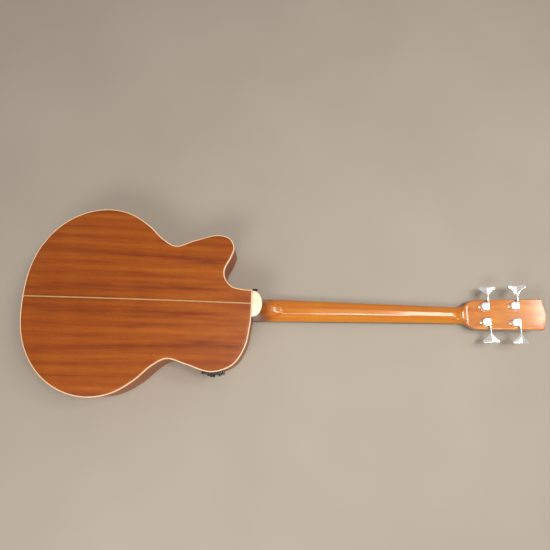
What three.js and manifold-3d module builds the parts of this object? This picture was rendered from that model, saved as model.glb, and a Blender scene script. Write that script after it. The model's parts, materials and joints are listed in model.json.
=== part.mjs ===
// Acoustic bass guitar lying on its face, with its back up
// Millimetres. X runs from the body to the head, Y to the cutaway side, Z up to the back.
// The model is drawn from the neck joint: X = 0 at the heel, Z = 0 on the face of the soundboard.
import * as THREE from "three";
import { mergeVertices } from "three/addons/utils/BufferGeometryUtils.js";
import Module from "manifold-3d";

const wasm = await Module();
wasm.setup();

// Fits
const glueLine = 0.3;
const runningGap = 0.3;
const overrun = 2;
const weldDistance = 0.0001;

// String length, frets and neck set
const scaleLength = 864;
const fretCount = 22;
const jointFret = 16;
const fretsPerOctave = 12;
const neckAngle = THREE.MathUtils.degToRad(0.5);
const headAngle = THREE.MathUtils.degToRad(11);

// Body
const bodyLength = 536;
const lowerBoutWidth = 450;
const heelFlatOnBass = 29;
const heelFlatOnCutaway = 33.5;
const rimDepthAtNeck = 94;
const rimDepthAtTail = 108;
const backRise = 6;
const sideThickness = 2.6;
const soundboardThickness = 3;
const backThickness = 3;
const bindingHeight = 7;
const liningThickness = 6;
const liningFoot = 2;
const liningHeight = 13;
const stripWidth = 3.6;
const stripDepth = 0.9;

// Soundhole and rosette
const soundholeRadius = 51;
const soundholeGap = 4;
const rosetteInnerRadius = 56;
const rosetteWidth = 11;
const rosetteDepth = 0.9;

// Blocks, braces and bridge plate
const tailBlockLength = 24;
const tailBlockWidth = 90;
const neckBlockLength = 52;
const neckBlockWidth = 50;
const tenonLength = 20;
const tenonWidth = 18;
const tenonLow = 20;
const tenonHigh = 68;
const braceWidth = 9;
const braceHeight = 14;
const braceTipHeight = 4;
const braceTaperLength = 50;
const crossGap = 38;
const crossHeadWidth = 260;
const crossTailWidth = 340;
const crossHalfAngle = THREE.MathUtils.degToRad(42.5);
const upperBraceGap = 16;
const backBraceHeight = 12;
const backBraceShares = [0.252, 0.532, 0.812];
const bridgePlateLength = 58;
const bridgePlateWidth = 120;
const bridgePlateThickness = 3;

// Bridge, saddle, pickup strip and pins
const bridgeLength = 42;
const bridgeWidth = 168;
const bridgeThickness = 10.5;
const bridgeWingThickness = 5;
const bridgeCrownWidth = 96;
const bridgeSaddleEdge = 14;
const bridgeBelly = 7;
const saddleThickness = 3.2;
const saddleWidth = 78;
const saddleSlotDepth = 6;
const saddleProud = 4;
const pickupThickness = 1.4;
const bridgeSpacing = 19.4;
const pinBack = 18;
const pinShankRadius = 2.7;
const pinHeadRadius = 4.3;
const pinHeadHeight = 6.8;
const pinLength = 26;

// Neck, fretboard, nut and truss rod
const nutWidth = 43;
const jointWidth = 59.3;
const nutThickness = 5.5;
const nutProud = 2.6;
const fretboardThickness = 6.5;
const fretboardRadius = 400;
const fretboardEndLength = 9.6;
const fretHeight = 1.1;
const fretWidth = 2.4;
const fretInset = 0.6;
const neckDepthAtNut = 15.5;
const neckDepthAtHeel = 18.5;
const heelLength = 24;
const heelWidth = 62;
const heelRoundness = 2.3;
const heelCapThickness = 3.4;
const rodWidth = 6;
const rodDepth = 9;
const rodInset = 3;
const rodNutRadius = 4;
const rodNutLength = 20;

// Head
const headThickness = 15.3;
const headBackFlat = 1.03;
const headLength = 209.5;
const headCornerLength = 203;
const headShoulder = 54;
const headShoulderWidth = 74.8;
const headEndWidth = 77.4;
const headplateThickness = 1;
const voluteRise = 3.7;
const voluteCrest = 16;
const voluteEnd = 29;

// Strings, from the thinnest on the cutaway side to the thickest
const stringDiameters = [1.1, 1.6, 2.1, 2.6];
const nutSpacing = 10.8;
const stringRiseAtNut = 0.5;
const windingTurns = 2.5;
const windingSteps = 20;

// Tuners
const firstTunerPlace = 69;
const tunerPairSpacing = 69;
const firstTunerOffset = 19.8;
const secondTunerOffset = 21.2;
const wormOffset = 8.9;
const housingRadius = 10.2;
const housingEnd = 10.9;
const housingHeight = 11;
const housingBevel = 2;
const earLength = 5.8;
const earWidth = 7;
const earThickness = 2.4;
const wormHeight = 5.6;
const wormRadius = 2.4;
const wormLength = 15;
const shaftRadius = 2.2;
const collarRadius = 3.2;
const gearRadius = 6.2;
const gearThickness = 5;
const postRadius = 6;
const postWaistRadius = 5;
const postHeight = 22;
const postLip = 2;
const postSlotWidth = 3;
const postSlotDepth = 7;
const bushingRadius = 8;
const bushingFlangeRadius = 10.2;
const bushingFlangeThickness = 2.4;
const keyStart = 23.5;
const keyLength = 28;
const keyWidth = 38;
const keyThickness = 2.6;
const keyFold = THREE.MathUtils.degToRad(17);
const keyRestAngles = [-14, 176, 11, -4].map(THREE.MathUtils.degToRad);

// Strap button and end pin jack
const buttonRadius = 7;
const buttonStemRadius = 3.2;
const buttonHeight = 12.5;
const buttonHeadHeight = 4;
const buttonX = 5;
const buttonBelowBack = 39;
const jackRadius = 6;
const jackInside = 40;
const jackOutside = 13;
const jackFlangeRadius = 10;
const jackFlangeThickness = 3;
const jackHeadThickness = 4;
const jackBoreRadius = 3.4;
const jackBoreDepth = 40;

// Preamp in the bass side
const preampX = -86;
const preampLength = 50;
const preampHeight = 66;
const preampCorner = 5;
const panelThickness = 3.8;
const panelLip = 5;
const preampBoxDepth = 28;
const knobRadius = 6;
const knobHeight = 6;
const knobShaftRadius = 2.6;
const knobAbove = 19;
const sliderSpacing = 13;
const sliderBelow = 9;
const sliderTravel = 18;
const sliderWidth = 5;
const sliderLength = 7;
const sliderProud = 3.4;
const sliderStem = 2;
const sliderReach = 6;

// Mesh fineness
const stepsPerSpan = 2;
const roundSegments = 16;
const smallSegments = 12;
const stringSides = 6;
const crownSteps = 3;
const sectionSteps = 12;
const heelSteps = 8;
const wingSegments = 4;
const housingSteps = 8;
const domeColumns = 10;
const domeRows = 6;

// Materials
const finish = (color, roughness, metalness = 0) =>
  new THREE.MeshStandardMaterial({ color, roughness, metalness });
const backWood = finish(0x9c4f20, 0.35);
const sideWood = finish(0x7d3516, 0.35);
const spruce = finish(0xd9b377, 0.4);
const innerWood = finish(0xc9a87a, 0.8);
const neckWood = finish(0xc9792c, 0.3);
const rosewood = finish(0x3a2117, 0.55);
const creamBinding = finish(0xf2dfb4, 0.4);
const paleInlay = finish(0xd2a868, 0.4);
const ivory = finish(0xf7f0dc, 0.35);
const chrome = finish(0xd8d8da, 0.15, 1);
const steel = finish(0x8f8f92, 0.35, 1);
const bronze = finish(0xb08a52, 0.35, 1);
const blackPlastic = finish(0x17171a, 0.45);

// Shapes: each function gives one closed geometry
function solidOf(geometry) {
  const bare = geometry.index ? geometry.toNonIndexed() : geometry.clone();
  bare.deleteAttribute("normal");
  bare.deleteAttribute("uv");
  const merged = mergeVertices(bare, weldDistance);
  const index = merged.index.array;
  const kept = [];
  for (let i = 0; i < index.length; i += 3) {
    const [a, b, c] = [index[i], index[i + 1], index[i + 2]];
    if (a !== b && b !== c && c !== a) kept.push(a, b, c);
  }
  const vertProperties = Float32Array.from(merged.attributes.position.array);
  const triVerts = Uint32Array.from(kept);
  return new wasm.Manifold(new wasm.Mesh({ numProp: 3, vertProperties, triVerts }));
}

function geometryOf(solid) {
  const { vertProperties, triVerts } = solid.getMesh();
  const geometry = new THREE.BufferGeometry();
  geometry.setAttribute("position", new THREE.BufferAttribute(vertProperties, 3));
  geometry.setIndex(new THREE.BufferAttribute(triVerts, 1));
  return geometry;
}

const join = (...parts) => geometryOf(parts.map(solidOf).reduce((a, b) => a.add(b)));
const cut = (part, ...tools) =>
  geometryOf(tools.map(solidOf).reduce((a, b) => a.subtract(b), solidOf(part)));
const common = (a, b) => geometryOf(solidOf(a).intersect(solidOf(b)));

function closedGeometry(vertices, faces) {
  const volume = faces.reduce((sum, [a, b, c]) => {
    const across = new THREE.Vector3().crossVectors(vertices[b], vertices[c]);
    return sum + vertices[a].dot(across);
  }, 0);
  const outward = volume < 0 ? faces.map(([a, b, c]) => [a, c, b]) : faces;
  const geometry = new THREE.BufferGeometry().setFromPoints(vertices);
  geometry.setIndex(outward.flat());
  return geometry;
}

// A skin over rings of equal count, capped at both ends unless the rings close on themselves
function loft(rings, endless = false) {
  const count = rings[0].length;
  const faces = [];
  const spans = endless ? rings.length : rings.length - 1;
  for (let r = 0; r < spans; r++) {
    const here = r * count;
    const next = ((r + 1) % rings.length) * count;
    for (let i = 0; i < count; i++) {
      const j = (i + 1) % count;
      faces.push([here + i, here + j, next + j], [here + i, next + j, next + i]);
    }
  }
  if (!endless) {
    const last = (rings.length - 1) * count;
    capFaces(rings[0]).forEach(([a, b, c]) => faces.push([a, c, b]));
    capFaces(rings.at(-1)).forEach(([a, b, c]) => faces.push([last + a, last + b, last + c]));
  }
  return closedGeometry(rings.flat(), faces);
}

// Triangles over a plane ring, wound the way the ring runs
function capFaces(ring) {
  const normal = new THREE.Vector3();
  ring.forEach((p, i) => {
    const q = ring[(i + 1) % ring.length];
    normal.add(new THREE.Vector3().crossVectors(p, q));
  });
  const sizes = normal.toArray().map(Math.abs);
  const dropped = sizes.indexOf(Math.max(...sizes));
  const [first, second] = [0, 1, 2].filter((axis) => axis !== dropped);
  const flat = ring.map((p) => new THREE.Vector2(p.getComponent(first), p.getComponent(second)));
  const turn = Math.sign(THREE.ShapeUtils.area(flat));
  return THREE.ShapeUtils.triangulateShape(flat, []).map(([a, b, c]) => {
    const area = THREE.ShapeUtils.area([flat[a], flat[b], flat[c]]);
    return Math.sign(area) === turn ? [a, b, c] : [a, c, b];
  });
}

// An upright slab of a plan outline between two heights; points on straight edges are dropped
function prism(outline, low, high, holes = []) {
  const corners = outline.filter((here, i) => {
    const arriving = here.clone().sub(outline.at(i - 1));
    const leaving = outline[(i + 1) % outline.length].clone().sub(here);
    return Math.abs(arriving.cross(leaving)) > weldDistance;
  });
  const shape = new THREE.Shape(corners);
  shape.holes = holes.map((hole) => new THREE.Path(hole));
  const geometry = new THREE.ExtrudeGeometry(shape, { depth: high - low, bevelEnabled: false });
  return geometry.translate(0, 0, low);
}

const point = (x, y) => new THREE.Vector2(x, y);
const place = (x, y, z) => new THREE.Vector3(x, y, z);

function box(lowX, highX, lowY, highY, lowZ, highZ) {
  const geometry = new THREE.BoxGeometry(highX - lowX, highY - lowY, highZ - lowZ);
  return geometry.translate((lowX + highX) / 2, (lowY + highY) / 2, (lowZ + highZ) / 2);
}

function circle(radius, segments, x = 0, y = 0) {
  return Array.from({ length: segments }, (_, i) => {
    const turn = (2 * Math.PI * i) / segments;
    return point(x + radius * Math.cos(turn), y + radius * Math.sin(turn));
  });
}

// A turned piece about Z; the profile lists radius and height
function turned(profile, segments = roundSegments) {
  const points = profile.map(([radius, height]) => point(radius, height));
  if (THREE.ShapeUtils.isClockWise(points)) points.reverse();
  return new THREE.LatheGeometry(points, segments).rotateX(Math.PI / 2);
}

const rod = (radius, low, high, segments) =>
  turned([[0, low], [radius, low], [radius, high], [0, high]], segments);

function roundedRectangle(length, width, corner) {
  const steps = 4;
  const centres = [[1, 1], [-1, 1], [-1, -1], [1, -1]];
  return centres.flatMap(([sideX, sideY], quarter) =>
    Array.from({ length: steps }, (_, i) => {
      const turn = (Math.PI / 2) * (quarter + i / (steps - 1));
      const x = sideX * (length / 2 - corner) + corner * Math.cos(turn);
      const y = sideY * (width / 2 - corner) + corner * Math.sin(turn);
      return point(x, y);
    }),
  );
}

// A closed plan outline moved inwards by the same distance all round
function inset(outline, distance) {
  const inwards = THREE.ShapeUtils.isClockWise(outline) ? 1 : -1;
  return outline.map((here, i) => {
    const before = outline.at(i - 1);
    const after = outline[(i + 1) % outline.length];
    const arriving = here.clone().sub(before).normalize();
    const leaving = after.clone().sub(here).normalize();
    const bisector = arriving.clone().add(leaving);
    const inward = point(bisector.y, -bisector.x).multiplyScalar(inwards);
    return here.clone().addScaledVector(inward, distance / (1 + arriving.dot(leaving)));
  });
}

// A stack of plan outlines, each a step of inset and height
function stepped(outline, steps) {
  return loft(steps.map(([step, height]) => inset(outline, step).map((p) => place(p.x, p.y, height))));
}

// A round bar along a route that is stepped from point to point, not by equal lengths
class Route extends THREE.CatmullRomCurve3 {
  getPointAt(share, target) {
    return this.getPoint(share, target);
  }
  getTangentAt(share, target) {
    return this.getTangent(share, target);
  }
}
function tube(points, radius) {
  const section = new THREE.Shape(circle(radius, stringSides));
  const extrudePath = new Route(points, false, "centripetal");
  return new THREE.ExtrudeGeometry(section, { steps: points.length - 1, extrudePath });
}

const guitar = new THREE.Group();
function piece(name, geometry, material, parent = guitar) {
  geometry.computeVertexNormals();
  const mesh = new THREE.Mesh(geometry, material);
  mesh.name = name;
  parent.add(mesh);
  return mesh;
}

// Body outline: shares of the body length and of half the lower bout, from the heel to the tail
const bassBoutShares = [
  [0.005, 0.25],
  [0.022, 0.455],
  [0.071, 0.64],
  [0.162, 0.721],
  [0.272, 0.652],
];
const cutawayShares = [
  [0.041, 0.151],
  [0.093, 0.179],
  [0.123, 0.263],
  [0.128, 0.355],
  [0.1, 0.511],
  [0.09, 0.612],
  [0.111, 0.711],
  [0.165, 0.749],
  [0.272, 0.674],
];
const lowerBoutShares = [
  [0.354, 0.603],
  [0.412, 0.673],
  [0.485, 0.831],
  [0.577, 0.96],
  [0.683, 1],
  [0.793, 0.937],
  [0.888, 0.78],
  [0.955, 0.556],
  [0.989, 0.315],
];
const outlinePlaces = (shares, side) =>
  shares.map(([along, across]) => place(-along * bodyLength, (side * across * lowerBoutWidth) / 2, 0));
const tenonEdge = tenonWidth / 2 + glueLine;
const outlineCurve = new THREE.CatmullRomCurve3(
  [
    place(0, -heelFlatOnBass, 0),
    ...outlinePlaces([...bassBoutShares, ...lowerBoutShares], -1),
    place(-bodyLength, 0, 0),
    ...outlinePlaces([...cutawayShares, ...lowerBoutShares], 1).reverse(),
    place(0, heelFlatOnCutaway, 0),
  ],
  false,
  "centripetal",
);
const spans = outlineCurve.points.length - 1;
const bodyOutline = [
  point(0, -tenonEdge),
  ...outlineCurve.getPoints(spans * stepsPerSpan).map((p) => point(p.x, p.y)),
  point(0, tenonEdge),
];
const tailIndex = 1 + (1 + bassBoutShares.length + lowerBoutShares.length) * stepsPerSpan;

// The arched back: highest along the middle, falling to the rim on every side
function backHeight(x, y) {
  const along = -x / bodyLength;
  const rim = rimDepthAtNeck + (rimDepthAtTail - rimDepthAtNeck) * along;
  const lengthShare = 2 * along - 1;
  const widthShare = y / (lowerBoutWidth / 2);
  return rim + backRise * (1 - lengthShare ** 2 - widthShare ** 2);
}
const level = (height) => () => height;
const underBack = (drop) => (x, y) => backHeight(x, y) - drop;

// A moulding's sections: a profile of inset and height at each point of the body outline
function moulding(profile, from = 0, to = bodyOutline.length - 1) {
  const rails = profile.map(([step, height]) =>
    inset(bodyOutline, step).map((p) => place(p.x, p.y, height(p.x, p.y))),
  );
  return bodyOutline.slice(from, to + 1).map((_, i) => rails.map((rail) => rail[from + i].clone()));
}

// A domed sheet that fills an outline, lying between two drops below the back's face
function domedSheet(outline, topDrop, bottomDrop) {
  const half = lowerBoutWidth / 2 + overrun;
  const nodes = [];
  [topDrop, bottomDrop].forEach((drop) => {
    for (let c = 0; c <= domeColumns; c++) {
      for (let r = 0; r <= domeRows; r++) {
        const x = overrun - ((bodyLength + 2 * overrun) * c) / domeColumns;
        const y = half * ((2 * r) / domeRows - 1);
        nodes.push(place(x, y, backHeight(x, y) - drop));
      }
    }
  });
  const row = domeRows + 1;
  const sheet = row * (domeColumns + 1);
  const faces = [];
  const wall = (a, b) => faces.push([a, b, b + sheet], [a, b + sheet, a + sheet]);
  for (let c = 0; c < domeColumns; c++) {
    for (let r = 0; r < domeRows; r++) {
      const a = c * row + r;
      faces.push([a, a + row, a + row + 1], [a, a + row + 1, a + 1]);
      const b = a + sheet;
      faces.push([b, b + row + 1, b + row], [b, b + 1, b + row + 1]);
    }
    wall(c * row + row, c * row);
    wall(c * row + domeRows, c * row + row + domeRows);
  }
  for (let r = 0; r < domeRows; r++) {
    wall(r, r + 1);
    wall(domeColumns * row + r + 1, domeColumns * row + r);
  }
  const highest = rimDepthAtTail + backRise + overrun;
  return common(closedGeometry(nodes, faces), prism(outline, -overrun, highest));
}

// Back: arched plate with an inlaid centre strip
const plateInset = sideThickness + glueLine;
const plateOutline = inset(bodyOutline, plateInset);
const stripHalf = stripWidth / 2;
const stripOutline = [
  point(-bodyLength + plateInset + glueLine, -stripHalf),
  point(-plateInset - glueLine, -stripHalf),
  point(-plateInset - glueLine, stripHalf),
  point(-bodyLength + plateInset + glueLine, stripHalf),
];
const grooveOutline = [
  point(-bodyLength - overrun, -stripHalf - glueLine),
  point(overrun, -stripHalf - glueLine),
  point(overrun, stripHalf + glueLine),
  point(-bodyLength - overrun, stripHalf + glueLine),
];
const groove = domedSheet(grooveOutline, -overrun, stripDepth + glueLine);
piece("back_plate", cut(domedSheet(plateOutline, 0, backThickness), groove), backWood);
piece("back_centre_strip", domedSheet(stripOutline, 0, stripDepth), paleInlay);

// Soundboard: flat plate with soundhole, rosette channel and pin holes
const nutX = scaleLength * (1 - 2 ** (-jointFret / fretsPerOctave));
const saddleX = nutX - scaleLength;
const pinX = saddleX - pinBack;
const fretX = (fret) => nutX - scaleLength * (1 - 2 ** (-fret / fretsPerOctave));
const fretboardTail = fretboardEndLength - fretX(fretCount);
const soundholeX = -fretboardTail - soundholeGap - soundholeRadius;
const stringSlots = [1.5, 0.5, -0.5, -1.5];
const pinHoles = stringSlots.map((slot) =>
  rod(pinShankRadius + glueLine, -bridgeThickness - overrun, pinLength, smallSegments)
    .translate(pinX, slot * bridgeSpacing, 0),
);
const hole = circle(soundholeRadius, 2 * roundSegments, soundholeX, 0);
function annulus(inner, outer, low, high) {
  const edge = circle(outer, 2 * roundSegments, soundholeX, 0);
  return prism(edge, low, high, [circle(inner, 2 * roundSegments, soundholeX, 0)]);
}
const rosetteChannel = annulus(
  rosetteInnerRadius - glueLine,
  rosetteInnerRadius + rosetteWidth + glueLine,
  -overrun,
  rosetteDepth + glueLine,
);
const soundboardBlank = prism(plateOutline, 0, soundboardThickness, [hole]);
piece("soundboard", cut(soundboardBlank, rosetteChannel, ...pinHoles), spruce);
const rosette = annulus(rosetteInnerRadius, rosetteInnerRadius + rosetteWidth, 0, rosetteDepth);
piece("rosette", rosette, creamBinding);

// Sides: two bent strips that meet at the tail and stop at the neck tenon
const sideProfile = [
  [0, level(bindingHeight + glueLine)],
  [sideThickness, level(bindingHeight + glueLine)],
  [sideThickness, underBack(bindingHeight + glueLine)],
  [0, underBack(bindingHeight + glueLine)],
];
const bassStrip = moulding(sideProfile, 0, tailIndex);
bassStrip.at(-1).forEach((p) => p.setY(-glueLine / 2));
const trebleStrip = moulding(sideProfile, tailIndex);
trebleStrip[0].forEach((p) => p.setY(glueLine / 2));

// Bindings run right round the body; linings stop at the neck block
const bindingProfile = (low, high) => [
  [0, low],
  [sideThickness, low],
  [sideThickness, high],
  [0, high],
];
const backBinding = moulding(bindingProfile(underBack(bindingHeight), underBack(0)));
const topBinding = moulding(bindingProfile(level(0), level(bindingHeight)));
piece("back_binding", loft(backBinding, true), creamBinding);
piece("top_binding", loft(topBinding, true), creamBinding);
const liningProfile = (seat, foot, grow) => [
  [plateInset - grow, seat],
  [plateInset + liningThickness + grow, seat],
  [plateInset + liningFoot + grow, foot],
  [plateInset - grow, foot],
];
const backSeat = backThickness + glueLine;
const topSeat = soundboardThickness + glueLine;
const backLiningProfile = (grow) =>
  liningProfile(underBack(backSeat - grow), underBack(backSeat + liningHeight + grow), grow);
const topLiningProfile = (grow) =>
  liningProfile(level(topSeat - grow), level(topSeat + liningHeight + grow), grow);
const liningStart = 1 + stepsPerSpan / 2;
const liningEnd = bodyOutline.length - 2 - 2 * stepsPerSpan;
const lining = (profile) => loft(moulding(profile, liningStart, liningEnd));
piece("back_lining", lining(backLiningProfile(0)), innerWood);
piece("top_lining", lining(topLiningProfile(0)), innerWood);
const liningRooms = [backLiningProfile(glueLine), topLiningProfile(glueLine)].map(lining);

// Neck block with a mortise, and tail block bored for the end pin
const underBackSheet = domedSheet(
  inset(bodyOutline, -overrun),
  backSeat,
  rimDepthAtTail + 2 * backRise,
);
function block(lowX, highX, halfWidth) {
  const blank = box(lowX, highX, -halfWidth, halfWidth, topSeat, rimDepthAtTail + backRise);
  const walled = common(blank, prism(plateOutline, topSeat, rimDepthAtTail + backRise));
  return cut(common(walled, underBackSheet), ...liningRooms);
}
const mortise = box(
  -tenonLength - glueLine,
  overrun,
  -tenonEdge,
  tenonEdge,
  tenonLow - glueLine,
  tenonHigh + glueLine,
);
const rodAccess = box(
  -plateInset - neckBlockLength - overrun,
  overrun,
  -rodNutRadius - glueLine,
  rodNutRadius + glueLine,
  0,
  rodDepth + 2 * glueLine,
);
const neckBlank = block(-plateInset - neckBlockLength, overrun, neckBlockWidth / 2);
piece("neck_block", cut(neckBlank, mortise, rodAccess), innerWood);
const jackZ = (rimDepthAtTail + soundboardThickness) / 2;
const alongTail = (geometry) => geometry.rotateY(-Math.PI / 2).translate(-bodyLength, 0, jackZ);
const jackHole = alongTail(rod(jackRadius + glueLine, -jackInside - overrun, overrun, smallSegments));
const tailBlank = block(-bodyLength, -bodyLength + plateInset + tailBlockLength, tailBlockWidth / 2);
piece("tail_block", cut(tailBlank, jackHole), innerWood);

// Preamp opening in the bass side, where the upper bout is widest
const panelSeatY = (bassBoutShares[3][1] * -lowerBoutWidth) / 2;
const preampZ = (backHeight(preampX, panelSeatY) + soundboardThickness) / 2;
const againstSide = (geometry) => geometry.rotateX(Math.PI / 2).translate(preampX, panelSeatY, preampZ);
const boxLength = preampLength - 2 * panelLip;
const boxHeight = preampHeight - 2 * panelLip;
const sideOpening = box(
  -boxLength / 2 - glueLine,
  boxLength / 2 + glueLine,
  -boxHeight / 2 - glueLine,
  boxHeight / 2 + glueLine,
  -preampBoxDepth - overrun,
  overrun,
);
piece("bass_side", cut(loft(bassStrip), jackHole, againstSide(sideOpening)), sideWood);
piece("treble_side", cut(loft(trebleStrip), jackHole), sideWood);

// Braces: tapered bars under the soundboard and arched bars under the back
function bar(halfLength, height) {
  const profile = new THREE.Shape([
    point(-halfLength, 0),
    point(halfLength, 0),
    point(halfLength, braceTipHeight),
    point(halfLength - braceTaperLength, height),
    point(-halfLength + braceTaperLength, height),
    point(-halfLength, braceTipHeight),
  ]);
  const geometry = new THREE.ExtrudeGeometry(profile, { depth: braceWidth, bevelEnabled: false });
  return geometry.translate(0, 0, -braceWidth / 2).rotateX(Math.PI / 2);
}
const crossX = soundholeX - soundholeRadius - crossGap;
function crossBar(side) {
  const reach = crossHeadWidth / 2 / Math.sin(crossHalfAngle);
  const tail = crossTailWidth / 2 / Math.sin(crossHalfAngle);
  const geometry = bar((reach + tail) / 2, braceHeight).translate((reach - tail) / 2, 0, 0);
  return geometry.rotateZ(side * crossHalfAngle).translate(crossX, 0, topSeat);
}
piece("x_brace", join(crossBar(1), crossBar(-1)), spruce);
const roomOutline = inset(bodyOutline, plateInset + liningThickness + glueLine);
const upperBraceX = soundholeX + soundholeRadius + upperBraceGap;
const upperBar = box(
  upperBraceX - braceWidth / 2,
  upperBraceX + braceWidth / 2,
  -lowerBoutWidth / 2,
  lowerBoutWidth / 2,
  topSeat,
  topSeat + braceHeight,
);
piece("upper_brace", common(upperBar, prism(roomOutline, 0, rimDepthAtNeck)), spruce);
backBraceShares.forEach((share, i) => {
  const x = -share * bodyLength;
  const half = lowerBoutWidth / 2;
  const strip = box(x - braceWidth / 2, x + braceWidth / 2, -half, half, 0, rimDepthAtTail + backRise);
  const sheet = domedSheet(roomOutline, backSeat, backSeat + backBraceHeight);
  piece(`back_brace_${i + 1}`, common(strip, sheet), spruce);
});

// Bridge plate, narrowed where it lies between the legs of the x brace
const legEdge = braceWidth / 2 / Math.cos(crossHalfAngle) + glueLine;
const legMeet = crossX - legEdge / Math.tan(crossHalfAngle);
const legSpread = (legMeet + bodyLength) * Math.tan(crossHalfAngle);
const betweenLegs = [
  point(legMeet, 0),
  point(-bodyLength, legSpread),
  point(-bodyLength, -legSpread),
];
const bridgePlate = box(
  pinX - bridgePlateLength / 2,
  pinX + bridgePlateLength / 2,
  -bridgePlateWidth / 2,
  bridgePlateWidth / 2,
  topSeat,
  topSeat + bridgePlateThickness,
);
const bridgePlateBlank = common(bridgePlate, prism(betweenLegs, 0, rimDepthAtNeck));
piece("bridge_plate", cut(bridgePlateBlank, ...pinHoles), innerWood);

// Bridge: a plan with a belly crossed with a face profile that thins to the wings
const bridgeFront = saddleX + bridgeSaddleEdge;
const bridgeBack = bridgeFront - bridgeLength;
const wingHalf = bridgeWidth / 2;
const crownHalf = bridgeCrownWidth / 2;
const bridgePlan = new THREE.Shape();
bridgePlan.moveTo(bridgeFront, -wingHalf);
bridgePlan.lineTo(bridgeFront, wingHalf);
bridgePlan.lineTo(bridgeBack + bridgeBelly, wingHalf);
bridgePlan.quadraticCurveTo(bridgeBack + bridgeBelly, crownHalf, bridgeBack, crownHalf / 2);
bridgePlan.lineTo(bridgeBack, -crownHalf / 2);
bridgePlan.quadraticCurveTo(bridgeBack + bridgeBelly, -crownHalf, bridgeBack + bridgeBelly, -wingHalf);
const bridgeFace = -glueLine;
const bridgeTop = bridgeFace - bridgeThickness;
const bridgeWing = bridgeFace - bridgeWingThickness;
const bridgeBlank = prism(bridgePlan.getPoints(), bridgeTop, bridgeFace);
const bridgeProfile = new THREE.Shape([
  point(-wingHalf, bridgeFace),
  point(-wingHalf, bridgeWing),
  point(-crownHalf, bridgeTop),
  point(crownHalf, bridgeTop),
  point(wingHalf, bridgeWing),
  point(wingHalf, bridgeFace),
]);
const bridgeRun = new THREE.ExtrudeGeometry(bridgeProfile, { depth: bridgeLength, bevelEnabled: false });
bridgeRun.applyMatrix4(new THREE.Matrix4().makeBasis(place(0, 1, 0), place(0, 0, 1), place(1, 0, 0)));
bridgeRun.translate(bridgeBack, 0, 0);
const saddleBottom = bridgeTop + saddleSlotDepth;
const saddleSlot = box(
  saddleX - saddleThickness / 2 - glueLine,
  saddleX + saddleThickness / 2 + glueLine,
  -saddleWidth / 2 - glueLine,
  saddleWidth / 2 + glueLine,
  bridgeTop - overrun,
  saddleBottom,
);

// Crowned sections for the fretboard, nut and saddle
const crownDrop = (y) => fretboardRadius - Math.sqrt(fretboardRadius ** 2 - y ** 2);
function crowned(x, halfWidth, seat, crest) {
  const top = Array.from({ length: crownSteps + 1 }, (_, i) => {
    const y = halfWidth * ((2 * i) / crownSteps - 1);
    return place(x, y, crest + crownDrop(y));
  });
  return [place(x, halfWidth, seat), place(x, -halfWidth, seat), ...top];
}
const saddleCrest = bridgeTop - saddleProud;
const saddleSeat = saddleBottom - pickupThickness - 2 * glueLine;
const saddleEnds = [-saddleThickness / 2, saddleThickness / 2];
const saddleHalf = saddleWidth / 2;
const saddleRings = saddleEnds.map((step) => crowned(saddleX + step, saddleHalf, saddleSeat, saddleCrest));
piece("saddle", loft(saddleRings), ivory);
const pickupStrip = box(
  saddleX - saddleThickness / 2,
  saddleX + saddleThickness / 2,
  -saddleWidth / 2,
  saddleWidth / 2,
  saddleBottom - glueLine - pickupThickness,
  saddleBottom - glueLine,
);
piece("saddle_pickup", pickupStrip, bronze);

// Bridge pins: tapered shank through bridge, soundboard and plate, with a domed head outside
const pinDomeShare = 0.55;
const pinShoulderShare = 0.6;
const pinTipShare = 0.8;
const pinTop = bridgeTop - pinHeadHeight;
const pinProfile = [
  [0, pinTop],
  [pinHeadRadius * pinDomeShare, pinTop],
  [pinHeadRadius, bridgeTop - pinHeadHeight * pinShoulderShare],
  [pinHeadRadius, bridgeTop - glueLine],
  [pinShankRadius, bridgeTop - glueLine],
  [pinShankRadius * pinTipShare, pinTop + pinLength],
  [0, pinTop + pinLength],
];
stringSlots.forEach((slot, i) => {
  const pin = turned(pinProfile, smallSegments).translate(pinX, slot * bridgeSpacing, 0);
  piece(`bridge_pin_${i + 1}`, pin, ivory);
});

// Neck and head frames
const neckFrame = new THREE.Matrix4().makeRotationY(-neckAngle);
const headFrame = neckFrame
  .clone()
  .multiply(new THREE.Matrix4().makeTranslation(nutX, 0, 0))
  .multiply(new THREE.Matrix4().makeRotationY(neckAngle - headAngle));
const onNeck = (geometry) => geometry.applyMatrix4(neckFrame);
const onHead = (geometry) => geometry.applyMatrix4(headFrame);

// Neck: rounded sections up the shaft, swelling at the volute and flattening into the head
const neckHalf = (x) => (jointWidth + ((nutWidth - jointWidth) * x) / nutX) / 2;
function neckSection(frame, x, halfWidth, depth, squareness) {
  return Array.from({ length: sectionSteps + 1 }, (_, i) => {
    const turn = (Math.PI * i) / sectionSteps;
    const across = Math.sign(Math.cos(turn)) * Math.abs(Math.cos(turn)) ** (2 / squareness);
    const deep = Math.min(1, headBackFlat * Math.abs(Math.sin(turn)) ** (2 / squareness));
    const y = 2 * i === sectionSteps ? 0 : halfWidth * across;
    return place(x, y, i % sectionSteps ? depth * deep : 0).applyMatrix4(frame);
  });
}
const shaftPlaceShares = [0.001, 0.12, 0.35, 0.6, 0.8, 0.93];
const shaftSquareness = 2.2;
const shaftDepth = (share) => neckDepthAtHeel + (neckDepthAtNut - neckDepthAtHeel) * share;
const shaftSections = shaftPlaceShares.map((share) =>
  neckSection(neckFrame, share * nutX, neckHalf(share * nutX), shaftDepth(share), shaftSquareness),
);
const flareShares = [
  [0, 0],
  [0.22, 0.05],
  [0.39, 0.195],
  [0.53, 0.51],
  [0.67, 0.79],
  [0.815, 0.96],
  [1, 1],
];
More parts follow.
